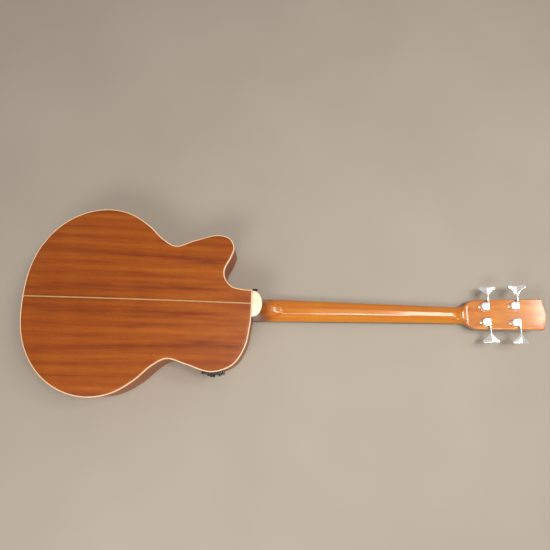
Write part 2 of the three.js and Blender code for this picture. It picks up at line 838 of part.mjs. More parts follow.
function headHalf(along) {
  if (along >= headShoulder) {
    const share = (along - headShoulder) / (headCornerLength - headShoulder);
    return (headShoulderWidth + (headEndWidth - headShoulderWidth) * share) / 2;
  }
  const after = flareShares.findIndex(([share]) => share * headShoulder > along);
  const [[lowShare, lowRise], [highShare, highRise]] = [flareShares[after - 1], flareShares[after]];
  const step = (along / headShoulder - lowShare) / (highShare - lowShare);
  const rise = lowRise + (highRise - lowRise) * step;
  return (nutWidth + (headShoulderWidth - nutWidth) * rise) / 2;
}
const swellAndSquarenessShares = [
  [0.4, shaftSquareness],
  [0.85, shaftSquareness],
  [1, shaftSquareness],
  [0.45, 3.2],
  [0, 12],
  [0, 20],
  [0, 20],
  [0, 20],
];
const headSectionPlaces = [
  0,
  voluteCrest / 2,
  voluteCrest,
  (voluteCrest + voluteEnd) / 2,
  voluteEnd,
  (voluteEnd + headShoulder) / 2,
  headShoulder,
  headLength + overrun,
];
const headSections = headSectionPlaces.map((along, i) => {
  const [swell, squareness] = swellAndSquarenessShares[i];
  return neckSection(headFrame, along, headHalf(along), headThickness + voluteRise * swell, squareness);
});
const neckShape = loft([...shaftSections, ...headSections]);
const headEdge = (x, widen) => [point(x, -headHalf(x) - widen), point(x, headHalf(x) + widen)];
const headEndPlan = (start, widen) => [
  headEdge(start, widen)[0],
  headEdge(headCornerLength, widen)[0],
  point(headLength, 0),
  headEdge(headCornerLength, widen)[1],
  headEdge(start, widen)[1],
];
const headEndTool = cut(
  box(voluteEnd, headLength + 2 * overrun, -headEndWidth, headEndWidth, -overrun, 2 * headThickness),
  prism(headEndPlan(voluteEnd - overrun, headEndWidth / 2), -2 * overrun, 2 * headThickness + overrun),
);

// Heel: D-shaped slices from the fretboard down to the heel cap
const heelDepth = backHeight(0, 0) - heelCapThickness - glueLine;
function heelSlice(length, halfWidth) {
  return Array.from({ length: heelSteps + 1 }, (_, i) => {
    const turn = Math.PI * (i / heelSteps - 1 / 2);
    const forward = i % heelSteps ? Math.cos(turn) ** (2 / heelRoundness) : 0;
    return point(glueLine + (length - glueLine) * forward, halfWidth * Math.sin(turn));
  });
}
const heelShares = [
  [0.07, 2.6, 0.95],
  [0.2, 2.5, 0.95],
  [0.25, 2, 0.955],
  [0.34, 1.58, 0.96],
  [0.48, 1.28, 0.97],
  [0.68, 1.1, 0.985],
  [1, 1, 1],
];
const heelRings = heelShares.map(([down, long, wide]) =>
  heelSlice(heelLength * long, (heelWidth / 2) * wide).map((p) => place(p.x, p.y, heelDepth * down)),
);
const heelSlope = Math.atan((backHeight(0, 0) - backHeight(heelLength, 0)) / heelLength);
const heelCapPlan = heelSlice(heelLength, heelWidth / 2);
const heelCapFrame = new THREE.Matrix4()
  .makeTranslation(0, 0, backHeight(0, 0))
  .multiply(new THREE.Matrix4().makeRotationY(heelSlope));
const heelCap = prism(heelCapPlan, -heelCapThickness, 0).applyMatrix4(heelCapFrame);
const capRoom = prism(
  [
    point(-overrun, -heelWidth),
    point(heelWidth, -heelWidth),
    point(heelWidth, heelWidth),
    point(-overrun, heelWidth),
  ],
  -heelCapThickness - glueLine,
  heelWidth,
).applyMatrix4(heelCapFrame);
piece("heel_cap", heelCap, ivory);
const tenon = box(-tenonLength, heelLength / 2, -tenonWidth / 2, tenonWidth / 2, tenonLow, tenonHigh);

// Truss rod channel under the fretboard, open to the body where the adjuster is
const rodEnd = nutX - rodInset;
const rodChannel = onNeck(
  box(
    0,
    rodEnd + glueLine,
    -rodWidth / 2 - glueLine,
    rodWidth / 2 + glueLine,
    -overrun,
    rodDepth + 2 * glueLine,
  ),
);
const rodNutPocket = onNeck(
  box(
    0,
    rodInset + rodNutLength + glueLine,
    -rodNutRadius - glueLine,
    rodNutRadius + glueLine,
    -overrun,
    rodDepth + 2 * glueLine,
  ),
);

// Tuner places on the head, thin strings first
const tunerPlaces = [
  { along: firstTunerPlace, across: firstTunerOffset, side: 1 },
  { along: firstTunerPlace + tunerPairSpacing, across: secondTunerOffset, side: 1 },
  { along: firstTunerPlace + tunerPairSpacing, across: secondTunerOffset, side: -1 },
  { along: firstTunerPlace, across: firstTunerOffset, side: -1 },
];
const tunerBores = (radius) =>
  tunerPlaces.map(({ along, across, side }) =>
    onHead(rod(radius, -2 * overrun, 2 * headThickness, smallSegments).translate(along, side * across, 0)),
  );
const heel = cut(loft(heelRings), capRoom);
const carved = join(neckShape, heel, tenon);
const bushingBores = tunerBores(bushingRadius + glueLine);
piece("neck", cut(carved, onHead(headEndTool), rodChannel, rodNutPocket, ...bushingBores), neckWood);
const rodBar = box(rodInset, rodEnd, -rodWidth / 2, rodWidth / 2, glueLine, rodDepth + glueLine);
const rodNut = rod(rodNutRadius, 0, rodNutLength, smallSegments / 2)
  .rotateY(Math.PI / 2)
  .translate(rodInset, 0, rodDepth / 2 + glueLine);
piece("truss_rod", onNeck(join(rodBar, rodNut)), steel);

// Headplate veneer on the head face
const plateStart = nutThickness + glueLine;
const platePlaces = [plateStart, voluteCrest, voluteEnd, headShoulder];
const platePlan = [
  ...platePlaces.map((x) => headEdge(x, 0)[0]),
  headEdge(headCornerLength, 0)[0],
  point(headLength, 0),
  headEdge(headCornerLength, 0)[1],
  ...platePlaces.map((x) => headEdge(x, 0)[1]).reverse(),
];
const headplateFace = -glueLine - headplateThickness;
const headplate = onHead(prism(platePlan, headplateFace, -glueLine));
piece("headplate", cut(headplate, ...bushingBores), rosewood);

// Strings: from the bridge over saddle and nut to windings on the posts
const stringBreak = (y) => saddleCrest + crownDrop(y) - glueLine;
const fretboardFace = -fretboardThickness;
const nutFloor = fretboardFace - fretHeight - stringRiseAtNut;
const postWaistBase = headplateFace - bushingFlangeThickness - runningGap - postLip;
function stringRoute(slot, diameter, { along, across, side }) {
  const radius = diameter / 2;
  const bridgeY = slot * bridgeSpacing;
  const nutY = slot * nutSpacing;
  const nearPin = place(pinX + pinHeadRadius + glueLine + radius, bridgeY, bridgeTop + radius * 2);
  const lip = place(nearPin.x + radius, bridgeY, bridgeTop - radius);
  const onSaddle = saddleEnds.map((step) => place(saddleX + step, bridgeY, stringBreak(bridgeY) - radius));
  const nutZ = nutFloor + crownDrop(nutY) - radius;
  const onNut = [0, nutThickness / 2].map((x) => place(nutX + x, nutY, nutZ).applyMatrix4(neckFrame));
  const coil = (postWaistRadius + runningGap + radius) / Math.cos((Math.PI * windingTurns) / windingSteps);
  const pitch = diameter + glueLine;
  const start = postWaistBase - glueLine - radius;
  const winding = Array.from({ length: windingSteps + 1 }, (_, i) => {
    const turns = (windingTurns * i) / windingSteps;
    const x = along + coil * Math.sin(2 * Math.PI * turns);
    const y = side * (across - coil * Math.cos(2 * Math.PI * turns));
    return place(x, y, start - pitch * turns).applyMatrix4(headFrame);
  });
  return [nearPin, lip, ...onSaddle, ...onNut, ...winding];
}
const stringRoutes = stringSlots.map((slot, i) => stringRoute(slot, stringDiameters[i], tunerPlaces[i]));
stringRoutes.forEach((route, i) => {
  piece(`string_${i + 1}`, tube(route, stringDiameters[i] / 2), bronze);
});
const stringRooms = stringRoutes.map((route, i) =>
  tube(route.slice(0, -windingSteps), stringDiameters[i] / 2 + glueLine),
);
piece("bridge", cut(common(bridgeBlank, bridgeRun), saddleSlot, ...pinHoles, ...stringRooms), rosewood);

// Fretboard with its frets, and the nut at its end
const fretboardSeat = (x) => -glueLine - Math.min(x, 0) * Math.tan(neckAngle);
const fretboardPlaces = [-fretboardTail, 0, nutX - glueLine];
const fretboardBlank = loft(
  fretboardPlaces.map((x) => crowned(x, neckHalf(x), fretboardSeat(x), fretboardFace)),
);
function fretBar(x) {
  const half = neckHalf(x) - fretInset;
  const rings = Array.from({ length: crownSteps + 1 }, (_, i) => {
    const y = half * ((2 * i) / crownSteps - 1);
    const face = fretboardFace + crownDrop(y);
    return [
      place(x - fretWidth / 2, y, face + fretHeight),
      place(x - fretWidth / 4, y, face - fretHeight),
      place(x + fretWidth / 4, y, face - fretHeight),
      place(x + fretWidth / 2, y, face + fretHeight),
    ];
  });
  return loft(rings);
}
const frets = Array.from({ length: fretCount }, (_, i) => fretBar(fretX(i + 1)));
piece("fretboard", onNeck(join(fretboardBlank, ...frets)), rosewood);
const nutEnds = [0, nutThickness];
const nutCrest = fretboardFace - nutProud;
const nutBlank = loft(nutEnds.map((x) => crowned(nutX + x, nutWidth / 2, -glueLine, nutCrest)));
piece("nut", cut(onNeck(nutBlank), ...stringRooms), ivory);

// Tuners: worm on the key shaft drives the wheel on the string post
function housingPlan(side) {
  const round = Array.from({ length: housingSteps + 1 }, (_, i) => {
    const turn = Math.PI * (1 / 2 + i / housingSteps);
    return point(housingRadius * Math.cos(turn), side * housingRadius * Math.sin(turn));
  });
  return [...round, point(housingEnd, -side * housingRadius), point(housingEnd, side * housingRadius)];
}
function tunerHousing(side) {
  const plan = housingPlan(side);
  const shell = stepped(plan, [
    [0, glueLine],
    [0, housingHeight - housingBevel],
    [housingBevel, housingHeight],
  ]);
  const earPlan = [
    point(0, -earWidth / 2),
    point(0, earWidth / 2),
    point(-housingRadius - earLength / 2, earWidth / 2),
    point(-housingRadius - earLength, earWidth / 4),
    point(-housingRadius - earLength, -earWidth / 4),
    point(-housingRadius - earLength / 2, -earWidth / 2),
  ];
  const ear = prism(earPlan, glueLine, earThickness);
  const collar = rod(collarRadius, 0, housingRadius + collarRadius, smallSegments)
    .rotateX((-side * Math.PI) / 2)
    .translate(wormOffset, 0, wormHeight);
  const wheelTop = wormHeight + gearThickness / 2 + runningGap;
  const wheelRoom = rod(gearRadius + runningGap, -overrun, wheelTop, smallSegments);
  const wormEnd = wormLength / 2 + runningGap;
  const wormRoom = rod(wormRadius + runningGap, -wormEnd, wormEnd, smallSegments)
    .rotateX(Math.PI / 2)
    .translate(wormOffset, 0, wormHeight);
  const shaftRoom = rod(shaftRadius + runningGap, 0, keyStart, smallSegments)
    .rotateX((-side * Math.PI) / 2)
    .translate(wormOffset, 0, wormHeight);
  return cut(join(shell, ear, collar), wheelRoom, wormRoom, shaftRoom);
}
const wingBendShares = [0.125, 0.45];
const wingTipShares = [0.465, 0.72];
const wingBulgeShares = [0.53, 0.88];
const wingEndShares = [0.435, 1];
const wingNotchShare = 0.96;
function tunerKey(side) {
  const worm = rod(wormRadius, -wormLength / 2, wormLength / 2, smallSegments).rotateX(Math.PI / 2);
  const shaft = rod(shaftRadius, 0, keyStart + keyLength / 4, smallSegments).rotateX((-side * Math.PI) / 2);
  const root = shaftRadius + keyThickness / 4;
  const wings = [-1, 1].map((hand) => {
    const spot = ([across, along]) => [hand * keyWidth * across, side * (keyStart + keyLength * along)];
    const wing = new THREE.Shape();
    wing.moveTo(0, side * keyStart);
    wing.lineTo(hand * root, side * keyStart);
    wing.quadraticCurveTo(...spot(wingBendShares), ...spot(wingTipShares));
    wing.quadraticCurveTo(...spot(wingBulgeShares), ...spot(wingEndShares));
    wing.lineTo(...spot([0, wingNotchShare]));
    const geometry = new THREE.ExtrudeGeometry(wing, {
      depth: keyThickness,
      bevelEnabled: false,
      curveSegments: wingSegments,
    });
    return geometry.translate(0, 0, -keyThickness / 2).rotateY(hand * keyFold);
  });
  return join(worm, shaft, ...wings);
}
function tunerPost() {
  const tip = headplateFace - headThickness - postHeight;
  const waistBase = postWaistBase - headThickness;
  const profile = [
    [0, tip],
    [postRadius, tip],
    [postRadius, tip + postLip],
    [postWaistRadius, tip + 2 * postLip],
    [postWaistRadius, waistBase],
    [postRadius, waistBase + postLip],
    [postRadius, wormHeight - gearThickness / 2],
    [gearRadius, wormHeight - gearThickness / 2],
    [gearRadius, wormHeight + gearThickness / 2],
    [0, wormHeight + gearThickness / 2],
  ];
  const slot = box(
    -postRadius * 2,
    postRadius * 2,
    -postSlotWidth / 2,
    postSlotWidth / 2,
    tip - overrun,
    tip + postSlotDepth,
  );
  return cut(turned(profile, smallSegments), slot);
}
function tunerBushing() {
  const face = headThickness - headplateFace;
  return turned([
    [postRadius + runningGap, -glueLine],
    [bushingRadius, -glueLine],
    [bushingRadius, -face - glueLine],
    [bushingFlangeRadius, -face - glueLine],
    [bushingFlangeRadius, -face - bushingFlangeThickness],
    [postRadius + runningGap, -face - bushingFlangeThickness],
    [postRadius + runningGap, -glueLine],
  ], smallSegments);
}
tunerPlaces.forEach(({ along, across, side }, i) => {
  const tuner = new THREE.Group();
  const onBack = new THREE.Matrix4().makeTranslation(along, side * across, headThickness);
  tuner.applyMatrix4(headFrame.clone().multiply(onBack));
  piece(`tuner_housing_${i + 1}`, tunerHousing(side), chrome, tuner);
  piece(`tuner_bushing_${i + 1}`, tunerBushing(), chrome, tuner);
  piece(`tuner_post_${i + 1}`, tunerPost(), chrome, tuner);
  const key = piece(`tuner_key_${i + 1}`, tunerKey(side), chrome, tuner);
  key.position.set(wormOffset, 0, wormHeight);
  key.rotation.y = keyRestAngles[i];
  guitar.add(tuner);
});

// Strap button on the cutaway side of the heel
const buttonDepthShare = 1 - buttonBelowBack / backHeight(0, 0);
const nextShare = heelShares.findIndex(([down]) => down > buttonDepthShare);
const [low, , lowWide] = heelShares[nextShare - 1];
const [high, , highWide] = heelShares[nextShare];
const heelThereShare = lowWide + ((highWide - lowWide) * (buttonDepthShare - low)) / (high - low);
const button = turned([
  [0, glueLine],
  [buttonStemRadius, glueLine],
  [buttonStemRadius, buttonHeight - buttonHeadHeight],
  [buttonRadius, buttonHeight - buttonHeadHeight / 2],
  [buttonRadius, buttonHeight],
  [0, buttonHeight],
]);
button.rotateX(-Math.PI / 2);
button.translate(buttonX, (heelThereShare * heelWidth) / 2, backHeight(0, 0) - buttonBelowBack);
piece("heel_strap_button", button, blackPlastic);

// End pin with the output jack bored through it
const jackProfile = [
  [jackBoreRadius, jackOutside],
  [jackFlangeRadius, jackOutside],
  [jackFlangeRadius, jackOutside - jackHeadThickness],
  [jackRadius, jackOutside - jackHeadThickness - overrun],
  [jackRadius, jackFlangeThickness],
  [jackFlangeRadius, jackFlangeThickness],
  [jackFlangeRadius, glueLine],
  [jackRadius, glueLine],
  [jackRadius, -jackInside],
  [0, -jackInside],
  [0, jackOutside - jackBoreDepth],
  [jackBoreRadius, jackOutside - jackBoreDepth],
  [jackBoreRadius, jackOutside],
];
piece("end_pin_jack", alongTail(turned(jackProfile, smallSegments)), chrome);

// Preamp: panel shaped to the side, box behind it, volume knob and three tone sliders
const panelPlan = roundedRectangle(preampLength, preampHeight, preampCorner);
const panelFace = glueLine + panelThickness;
const sliderPlaces = [-1, 0, 1].map((step) => step * sliderSpacing);
const sliderRooms = sliderPlaces.map((x) =>
  box(
    x - sliderStem / 2 - runningGap,
    x + sliderStem / 2 + runningGap,
    -sliderBelow - sliderTravel / 2 - sliderStem / 2 - runningGap,
    -sliderBelow + sliderTravel / 2 + sliderStem / 2 + runningGap,
    -sliderReach,
    panelFace + overrun,
  ),
);
const knobRoom = rod(knobShaftRadius + runningGap, -sliderReach, panelFace + overrun, smallSegments)
  .translate(0, knobAbove, 0);
const panelBlank = againstSide(cut(prism(panelPlan, -preampBoxDepth, panelFace), knobRoom, ...sliderRooms));
const outsideBody = prism(inset(bodyOutline, -glueLine), 0, rimDepthAtTail);
piece("preamp_panel", cut(panelBlank, outsideBody), blackPlastic);
const [halfLength, halfHeight] = [boxLength / 2, boxHeight / 2];
const boxBlank = box(-halfLength, halfLength, -halfHeight, halfHeight, -preampBoxDepth, glueLine);
const preampBox = againstSide(cut(boxBlank, knobRoom, ...sliderRooms));
piece("preamp_box", common(preampBox, prism(bodyOutline, 0, rimDepthAtTail)), blackPlastic);
const knobTopShare = 0.92;
const knobProfile = [
  [0, -sliderReach + runningGap],
  [knobShaftRadius, -sliderReach + runningGap],
  [knobShaftRadius, panelFace + runningGap],
  [knobRadius, panelFace + runningGap],
  [knobRadius * knobTopShare, panelFace + knobHeight],
  [0, panelFace + knobHeight],
];
piece("volume_knob", againstSide(turned(knobProfile).translate(0, knobAbove, 0)), blackPlastic);
["bass_slider", "middle_slider", "treble_slider"].forEach((name, i) => {
  const x = sliderPlaces[i];
  const stem = box(
    x - sliderStem / 2,
    x + sliderStem / 2,
    -sliderBelow - sliderStem / 2,
    -sliderBelow + sliderStem / 2,
    -sliderReach + runningGap,
    panelFace + sliderProud,
  );
  const cap = box(
    x - sliderWidth / 2,
    x + sliderWidth / 2,
    -sliderBelow - sliderLength / 2,
    -sliderBelow + sliderLength / 2,
    panelFace + runningGap,
    panelFace + sliderProud,
  );
  piece(name, againstSide(join(stem, cap)), blackPlastic);
});

// Lay the guitar down on its bridge pins and the posts of its first tuners
const pinTip = place(pinX, 0, pinTop);
const postEdge = firstTunerPlace - postRadius;
const postTip = place(postEdge, 0, headplateFace - postHeight).applyMatrix4(headFrame);
guitar.rotation.y = Math.atan2(postTip.z - pinTip.z, postTip.x - pinTip.x);
guitar.updateMatrixWorld(true);
const bounds = new THREE.Box3().setFromObject(guitar, true);
const middle = bounds.getCenter(new THREE.Vector3());
guitar.position.set(-middle.x, -middle.y, -bounds.min.z);
guitar.updateMatrixWorld(true);

export default guitar;
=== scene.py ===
"""An acoustic bass guitar lying on its face, seen from above its back."""
import json
import math

import bmesh
import bpy
import numpy as np
from mathutils import Matrix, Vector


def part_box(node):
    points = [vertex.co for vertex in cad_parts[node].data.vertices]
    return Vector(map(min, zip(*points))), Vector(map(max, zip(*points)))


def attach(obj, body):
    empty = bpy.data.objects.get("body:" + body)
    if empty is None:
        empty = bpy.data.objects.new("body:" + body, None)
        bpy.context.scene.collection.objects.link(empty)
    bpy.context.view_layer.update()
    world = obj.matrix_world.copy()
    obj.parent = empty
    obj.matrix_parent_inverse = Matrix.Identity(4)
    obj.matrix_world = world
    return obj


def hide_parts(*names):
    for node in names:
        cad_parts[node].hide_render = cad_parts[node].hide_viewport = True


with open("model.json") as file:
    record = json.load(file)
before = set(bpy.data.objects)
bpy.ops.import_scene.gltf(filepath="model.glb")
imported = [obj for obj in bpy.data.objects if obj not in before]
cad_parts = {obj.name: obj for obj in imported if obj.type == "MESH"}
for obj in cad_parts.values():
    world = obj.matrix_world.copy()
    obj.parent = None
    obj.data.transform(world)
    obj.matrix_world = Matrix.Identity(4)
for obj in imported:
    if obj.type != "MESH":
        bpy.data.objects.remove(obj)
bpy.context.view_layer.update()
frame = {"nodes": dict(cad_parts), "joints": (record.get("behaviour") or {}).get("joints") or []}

# How the guitar lies
# The maker draws it in millimetres from the neck joint, X = 0 at the heel and Z = 0 on the
# soundboard. It lies face down, tilted onto its bridge pins and the first pair of tuner posts.
SLIDE_AXIS = next(j for j in frame["joints"] if j["name"] == "bass_slide")["axis"]
LYING_TILT = math.atan2(SLIDE_AXIS[0], SLIDE_AXIS[2])
BINDING_HEIGHT = 7.0
EDGE_LOW, EDGE_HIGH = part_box("top_binding")
LYING_SHIFT = np.array([
    EDGE_HIGH.x - BINDING_HEIGHT / 1000 * math.sin(LYING_TILT), 0, EDGE_LOW.z,
])


def turned(points, angle):
    """Points turned about Y: X and Z mixed by the angle's sine and cosine."""
    p = np.asarray(points, float)
    c, s = math.cos(angle), math.sin(angle)
    return np.stack([p[..., 0] * c + p[..., 2] * s, p[..., 1], p[..., 2] * c - p[..., 0] * s], -1)


def laid(points):
    """Points of the upright drawing turned by the tilt, in metres, and lifted to where it lies."""
    return turned(points, LYING_TILT) / 1000 + LYING_SHIFT


# Body outline
# The rim is drawn through measured points: a bass bout, a wide lower bout and a pointed cutaway.
# Bent sides, plates and bindings all follow this one line, each at its own step inwards.
BODY_LENGTH = 536.0
BODY_HALF = 225.0
FLAT_ON_BASS = 29.0
FLAT_ON_CUTAWAY = 33.5
FLAT_AT_BLOCK = 25.05
RIM_STEPS = 10
BASS_BOUT = [[0.005, 0.25], [0.022, 0.455], [0.071, 0.64], [0.162, 0.721], [0.272, 0.652]]
CUTAWAY_BOUT = [
    [0.041, 0.151], [0.093, 0.179], [0.123, 0.263], [0.128, 0.355], [0.1, 0.511],
    [0.09, 0.612], [0.111, 0.711], [0.165, 0.749], [0.272, 0.674],
]
LOWER_BOUT = [
    [0.354, 0.603], [0.412, 0.673], [0.485, 0.831], [0.577, 0.96], [0.683, 1],
    [0.793, 0.937], [0.888, 0.78], [0.955, 0.556], [0.989, 0.315],
]


def flowing(points, steps):
    """A smooth line through points: on each stretch a cubic from point to point, whose slopes at
    its ends weigh the stretches before and after by the square roots of their lengths."""
    p = np.asarray(points, float)
    p = np.vstack([2 * p[0] - p[1], p, 2 * p[-1] - p[-2]])
    time = np.linalg.norm(np.diff(p, axis=0), axis=1)[:, None] ** 0.5
    t0, t1, t2 = time[:-2], time[1:-1], time[2:]
    step = np.diff(p, axis=0)
    s0, s1, s2 = step[:-2], step[1:-1], step[2:]
    leave = (s0 / t0 - (s0 + s1) / (t0 + t1) + s1 / t1) * t1
    reach = (s1 / t1 - (s1 + s2) / (t1 + t2) + s2 / t2) * t1
    u = np.linspace(0, 1, steps, endpoint=False)[None, :, None]
    a, b = p[1:-2, None], p[2:-1, None]
    m, n = leave[:, None], reach[:, None]
    cubic = a + u * m + u**2 * (3 * (b - a) - 2 * m - n) + u**3 * (2 * (a - b) + m + n)
    return np.vstack([cubic.reshape(-1, p.shape[1]), p[-2]])


def rim_points(shares, side):
    """Shares of the body's length and half width as points on one side of it."""
    return np.array(shares) * [-BODY_LENGTH, side * BODY_HALF]


bass_rim = np.vstack([[0, -FLAT_ON_BASS], rim_points(BASS_BOUT + LOWER_BOUT, -1)])
treble_rim = np.vstack([rim_points(CUTAWAY_BOUT + LOWER_BOUT, 1)[::-1], [0, FLAT_ON_CUTAWAY]])
rim = flowing(np.vstack([bass_rim, [-BODY_LENGTH, 0], treble_rim]), RIM_STEPS)
rim[:, 1] *= BODY_HALF / np.abs(rim[:, 1]).max()
rim = np.vstack([rim, [0, FLAT_AT_BLOCK]])
tail = len(bass_rim) * RIM_STEPS


# Sapele back
# An arched plate of red-brown ribbon-grained wood, its two halves cut from one board and opened
# like a book, under gloss lacquer. It is glued onto the linings inside the binding.
HEEL_DEPTH = 94.0
TAIL_RISE = 14.0
DOME_RISE = 6.0
PLATE_INSET = 2.6
PLATE_THICKNESS = 3.0
PLATE_DROP = 0.07
EDGE_STEP = 0.25
EDGE_DROP = 0.2
BACK_MIDDLE = np.array([-200.0, 20.0])


def srgb(red, green, blue):
    """A colour from 0 to 255 as it looks on a screen, as the light values that a shader takes."""
    c = np.array([red, green, blue]) / 255
    light = np.where(c <= 0.04045, c / 12.92, ((c + 0.055) / 1.055) ** 2.4)
    return (*light.tolist(), 1)


class Finish:
    """A material with its shader, and a slot name that it keeps but nothing uses. add() makes a
    node: its inputs are values or other nodes' outputs, and its settings are plain attributes."""

    def __init__(self, name, slot=None, **sockets):
        self.slot = slot
        self.material = bpy.data.materials.new(name)
        self.material.use_nodes = True
        tree = self.material.node_tree
        self.nodes, self.links = tree.nodes, tree.links
        self.shader = self.nodes["Principled BSDF"]
        self.fill(self.shader, {key.replace("_", " "): value for key, value in sockets.items()})

    def fill(self, node, inputs):
        """Sets a node's inputs: another node's output is linked, a plain value is written."""
        for key, value in inputs.items():
            if isinstance(value, bpy.types.NodeSocket):
                self.links.new(value, node.inputs[key])
            else:
                node.inputs[key].default_value = value

    def add(self, kind, inputs, **settings):
        node = self.nodes.new("ShaderNode" + kind)
        for key, value in settings.items():
            setattr(node, key, value)
        self.fill(node, inputs)
        return node.outputs

    def place(self, stretch, flow=False, mirrored=False):
        """The point's own coordinates in metres, times one stretch or one for each of them."""
        if flow:
            point = self.add("Attribute", {}, attribute_name="flow")["Vector"]
        else:
            point = self.add("TexCoord", {})["Object"]
        if mirrored:
            point = self.add("VectorMath", {0: point}, operation="ABSOLUTE")[0]
        stretches = (np.ones(3) * stretch).tolist()
        return self.add("VectorMath", {0: point, 1: stretches}, operation="MULTIPLY")[0]

    def noise(self, vector, detail=2.0, roughness=0.5, distortion=0.0):
        """Fractal noise from 0 to 1 at a place, its grain one unit wide."""
        values = {"Vector": vector, "Scale": 1.0, "Detail": detail, "Roughness": roughness}
        return self.add("TexNoise", values | {"Distortion": distortion})["Fac"]

    def math(self, operation, *values):
        return self.add("Math", dict(enumerate(values)), operation=operation)[0]

    def between(self, value, low, high, to_low=0.0, to_high=1.0):
        """A value's place from low to high, carried over to another pair of ends."""
        return self.add("MapRange", {0: value, 1: low, 2: high, 3: to_low, 4: to_high})[0]

    def mix(self, share, first, second, blend="MIX"):
        """Two colours blended by a share of the second."""
        inputs = {0: share, 6: first, 7: second}
        return self.add("Mix", inputs, data_type="RGBA", blend_type=blend)[2]

    def ramp(self, value, *stops):
        """Colours along a value, each given by its place, red, green and blue."""
        node = self.nodes.new("ShaderNodeValToRGB")
        self.links.new(value, node.inputs[0])
        ends = node.color_ramp.elements
        while len(ends) < len(stops):
            ends.new(0.5)
        for end, (spot, *colour) in zip(ends, stops):
            end.position = spot
            end.color = srgb(*colour)
        return node.outputs["Color"]

    def bump(self, height, distance, strength=1.0):
        """Tilts the surface as if a height, a distance in metres tall, stood on it."""
        inputs = {"Height": height, "Distance": distance, "Strength": strength}
        self.fill(self.shader, {"Normal": self.add("Bump", inputs)[0]})

    def rubbed(self, wear, dark, light, rough):
        """Paint and roughness that follow one noise, between two colours and two values."""
        colour = self.ramp(wear, (0.3, *dark), (0.7, *light))
        return self.paint(colour, self.between(wear, 0.3, 0.7, *rough))

    def paint(self, colour, rough=None):
        """Gives the shader its colour and, where it varies, its roughness."""
        self.fill(self.shader, {"Base Color": colour})
        if rough is not None:
            self.fill(self.shader, {"Roughness": rough})
        return self


def wood(name, slot, tones, pore, across, flow=False, mirrored=False, pores=0.5, gloss=0.3,
         coat=0.0, shine=0.4, stain_and_shade=None):
    """Wood grain along X: broad bands, ribbon streaks and short pores are noises stretched along
    the grain by different amounts and set side by side `across` times a metre; a slow shimmer
    lies over them. A tint of painted shade and darker end grain can be given, with the places
    in X between which it fades out."""
    f = Finish(name, slot, Coat_Weight=coat, Coat_Roughness=0.1, Specular_IOR_Level=shine)
    sway = f.noise(f.place((1.6, 5, 5), flow, mirrored), 1.0)
    shift = f.add("CombineXYZ", {1: f.between(sway, 0, 1, -0.012, 0.012)})[0]
    place = f.place(1, flow, mirrored)
    bent = f.add("VectorMath", {0: place, 1: shift}, operation="ADD")[0]

    def streaks(along, side, detail, roughness=0.5):
        stretch = (along, side, side)
        spread = f.add("VectorMath", {0: bent, 1: stretch}, operation="MULTIPLY")[0]
        return f.noise(spread, detail, roughness)

    bands = streaks(0.6, across * 0.33, 1.5)
    ribbon = streaks(5, across, 3.0, 0.6)
    broken = streaks(26, across * 1.6, 2.0)
    shimmer = f.noise(f.place((22, 8, 8), flow, mirrored), 1.0)
    tone = 0.0
    for part, weight in (bands, 0.56), (ribbon, 0.26), (broken, 0.1), (shimmer, 0.08):
        tone = f.math("MULTIPLY_ADD", part, weight, tone)
    spots = np.linspace(0.36, 0.64, len(tones))
    colour = f.ramp(tone, *((spot, *shade) for spot, shade in zip(spots, tones)))
    fleck = f.between(streaks(110, across * 14, 1.0), 0.57, 0.68)
    colour = f.mix(f.math("MULTIPLY", fleck, pores), colour, pore)
    # Painted shade: the colour is multiplied by the tint, fully at the start in X and fading out by
    # the end. On the neck this darkens the heel's curved front, along with its darker end grain.
    if stain_and_shade:
        shade_tint, start, end = stain_and_shade
        along = f.add("SeparateXYZ", {0: f.place(1)})[0]
        colour = f.mix(f.between(along, start, end, 1, 0), colour, shade_tint, "MULTIPLY")
    f.bump(f.math("SUBTRACT", f.math("MULTIPLY", ribbon, 0.2), fleck), 0.00006, 0.35)
    return f.paint(colour, f.between(ribbon, 0.2, 0.8, gloss - 0.05, gloss + 0.08))


sapele_tones = [(122, 53, 9), (147, 69, 12), (159, 80, 16), (172, 91, 22)]
sapele_pore = srgb(108, 46, 10)
sapele = wood("sapele_back", "mahogany", sapele_tones, sapele_pore, 150, mirrored=True, gloss=0.4,
              shine=0.25)


def inset(line, step):
    """A closed line moved inwards by a step, each corner along the line that halves its angle."""
    arriving = line - np.roll(line, 1, 0)
    arriving /= np.linalg.norm(arriving, axis=1)[:, None]
    leaving = np.roll(arriving, -1, 0)
    middle = arriving + leaving
    after = np.roll(line, -1, 0)
    area = np.sum(line[:, 0] * after[:, 1] - after[:, 0] * line[:, 1])
    inward = np.stack([-middle[:, 1], middle[:, 0]], 1) * np.sign(area)
    return line + inward * step / (1 + np.sum(arriving * leaving, 1))[:, None]


def back_height(p):
    """The back's height: the rim rises from heel to tail, and a dome is added that falls off with
    the squares of the shares of length and width."""
    along = -p[..., 0] / BODY_LENGTH
    dome = 1 - (2 * along - 1) ** 2 - (p[..., 1] / BODY_HALF) ** 2
    return HEEL_DEPTH + TAIL_RISE * along + DOME_RISE * dome


def fan(line, middle, shares):
    """Rows from the middle out to a line: each row is the line drawn together by its share."""
    return middle + np.asarray(shares)[:, None, None] * (line - middle)


def skin(points, ends):
    """Rows of points, each closed round, and their four-sided faces. The first and last row are
    capped with a face each, joined to one another, or left open."""
    rows, columns = points.shape[:2]
    r = np.arange(rows - (ends != "joined"))[:, None]
    c = np.arange(columns)[None]
    below, right = (r + 1) % rows, (c + 1) % columns
    faces = np.stack([
        r * columns + c, r * columns + right, below * columns + right, below * columns + c,
    ], -1).reshape(-1, 4).tolist()
    if ends == "capped":
        faces += [list(range(columns)), list(range((rows - 1) * columns, rows * columns))]
    return points.reshape(-1, 3), faces


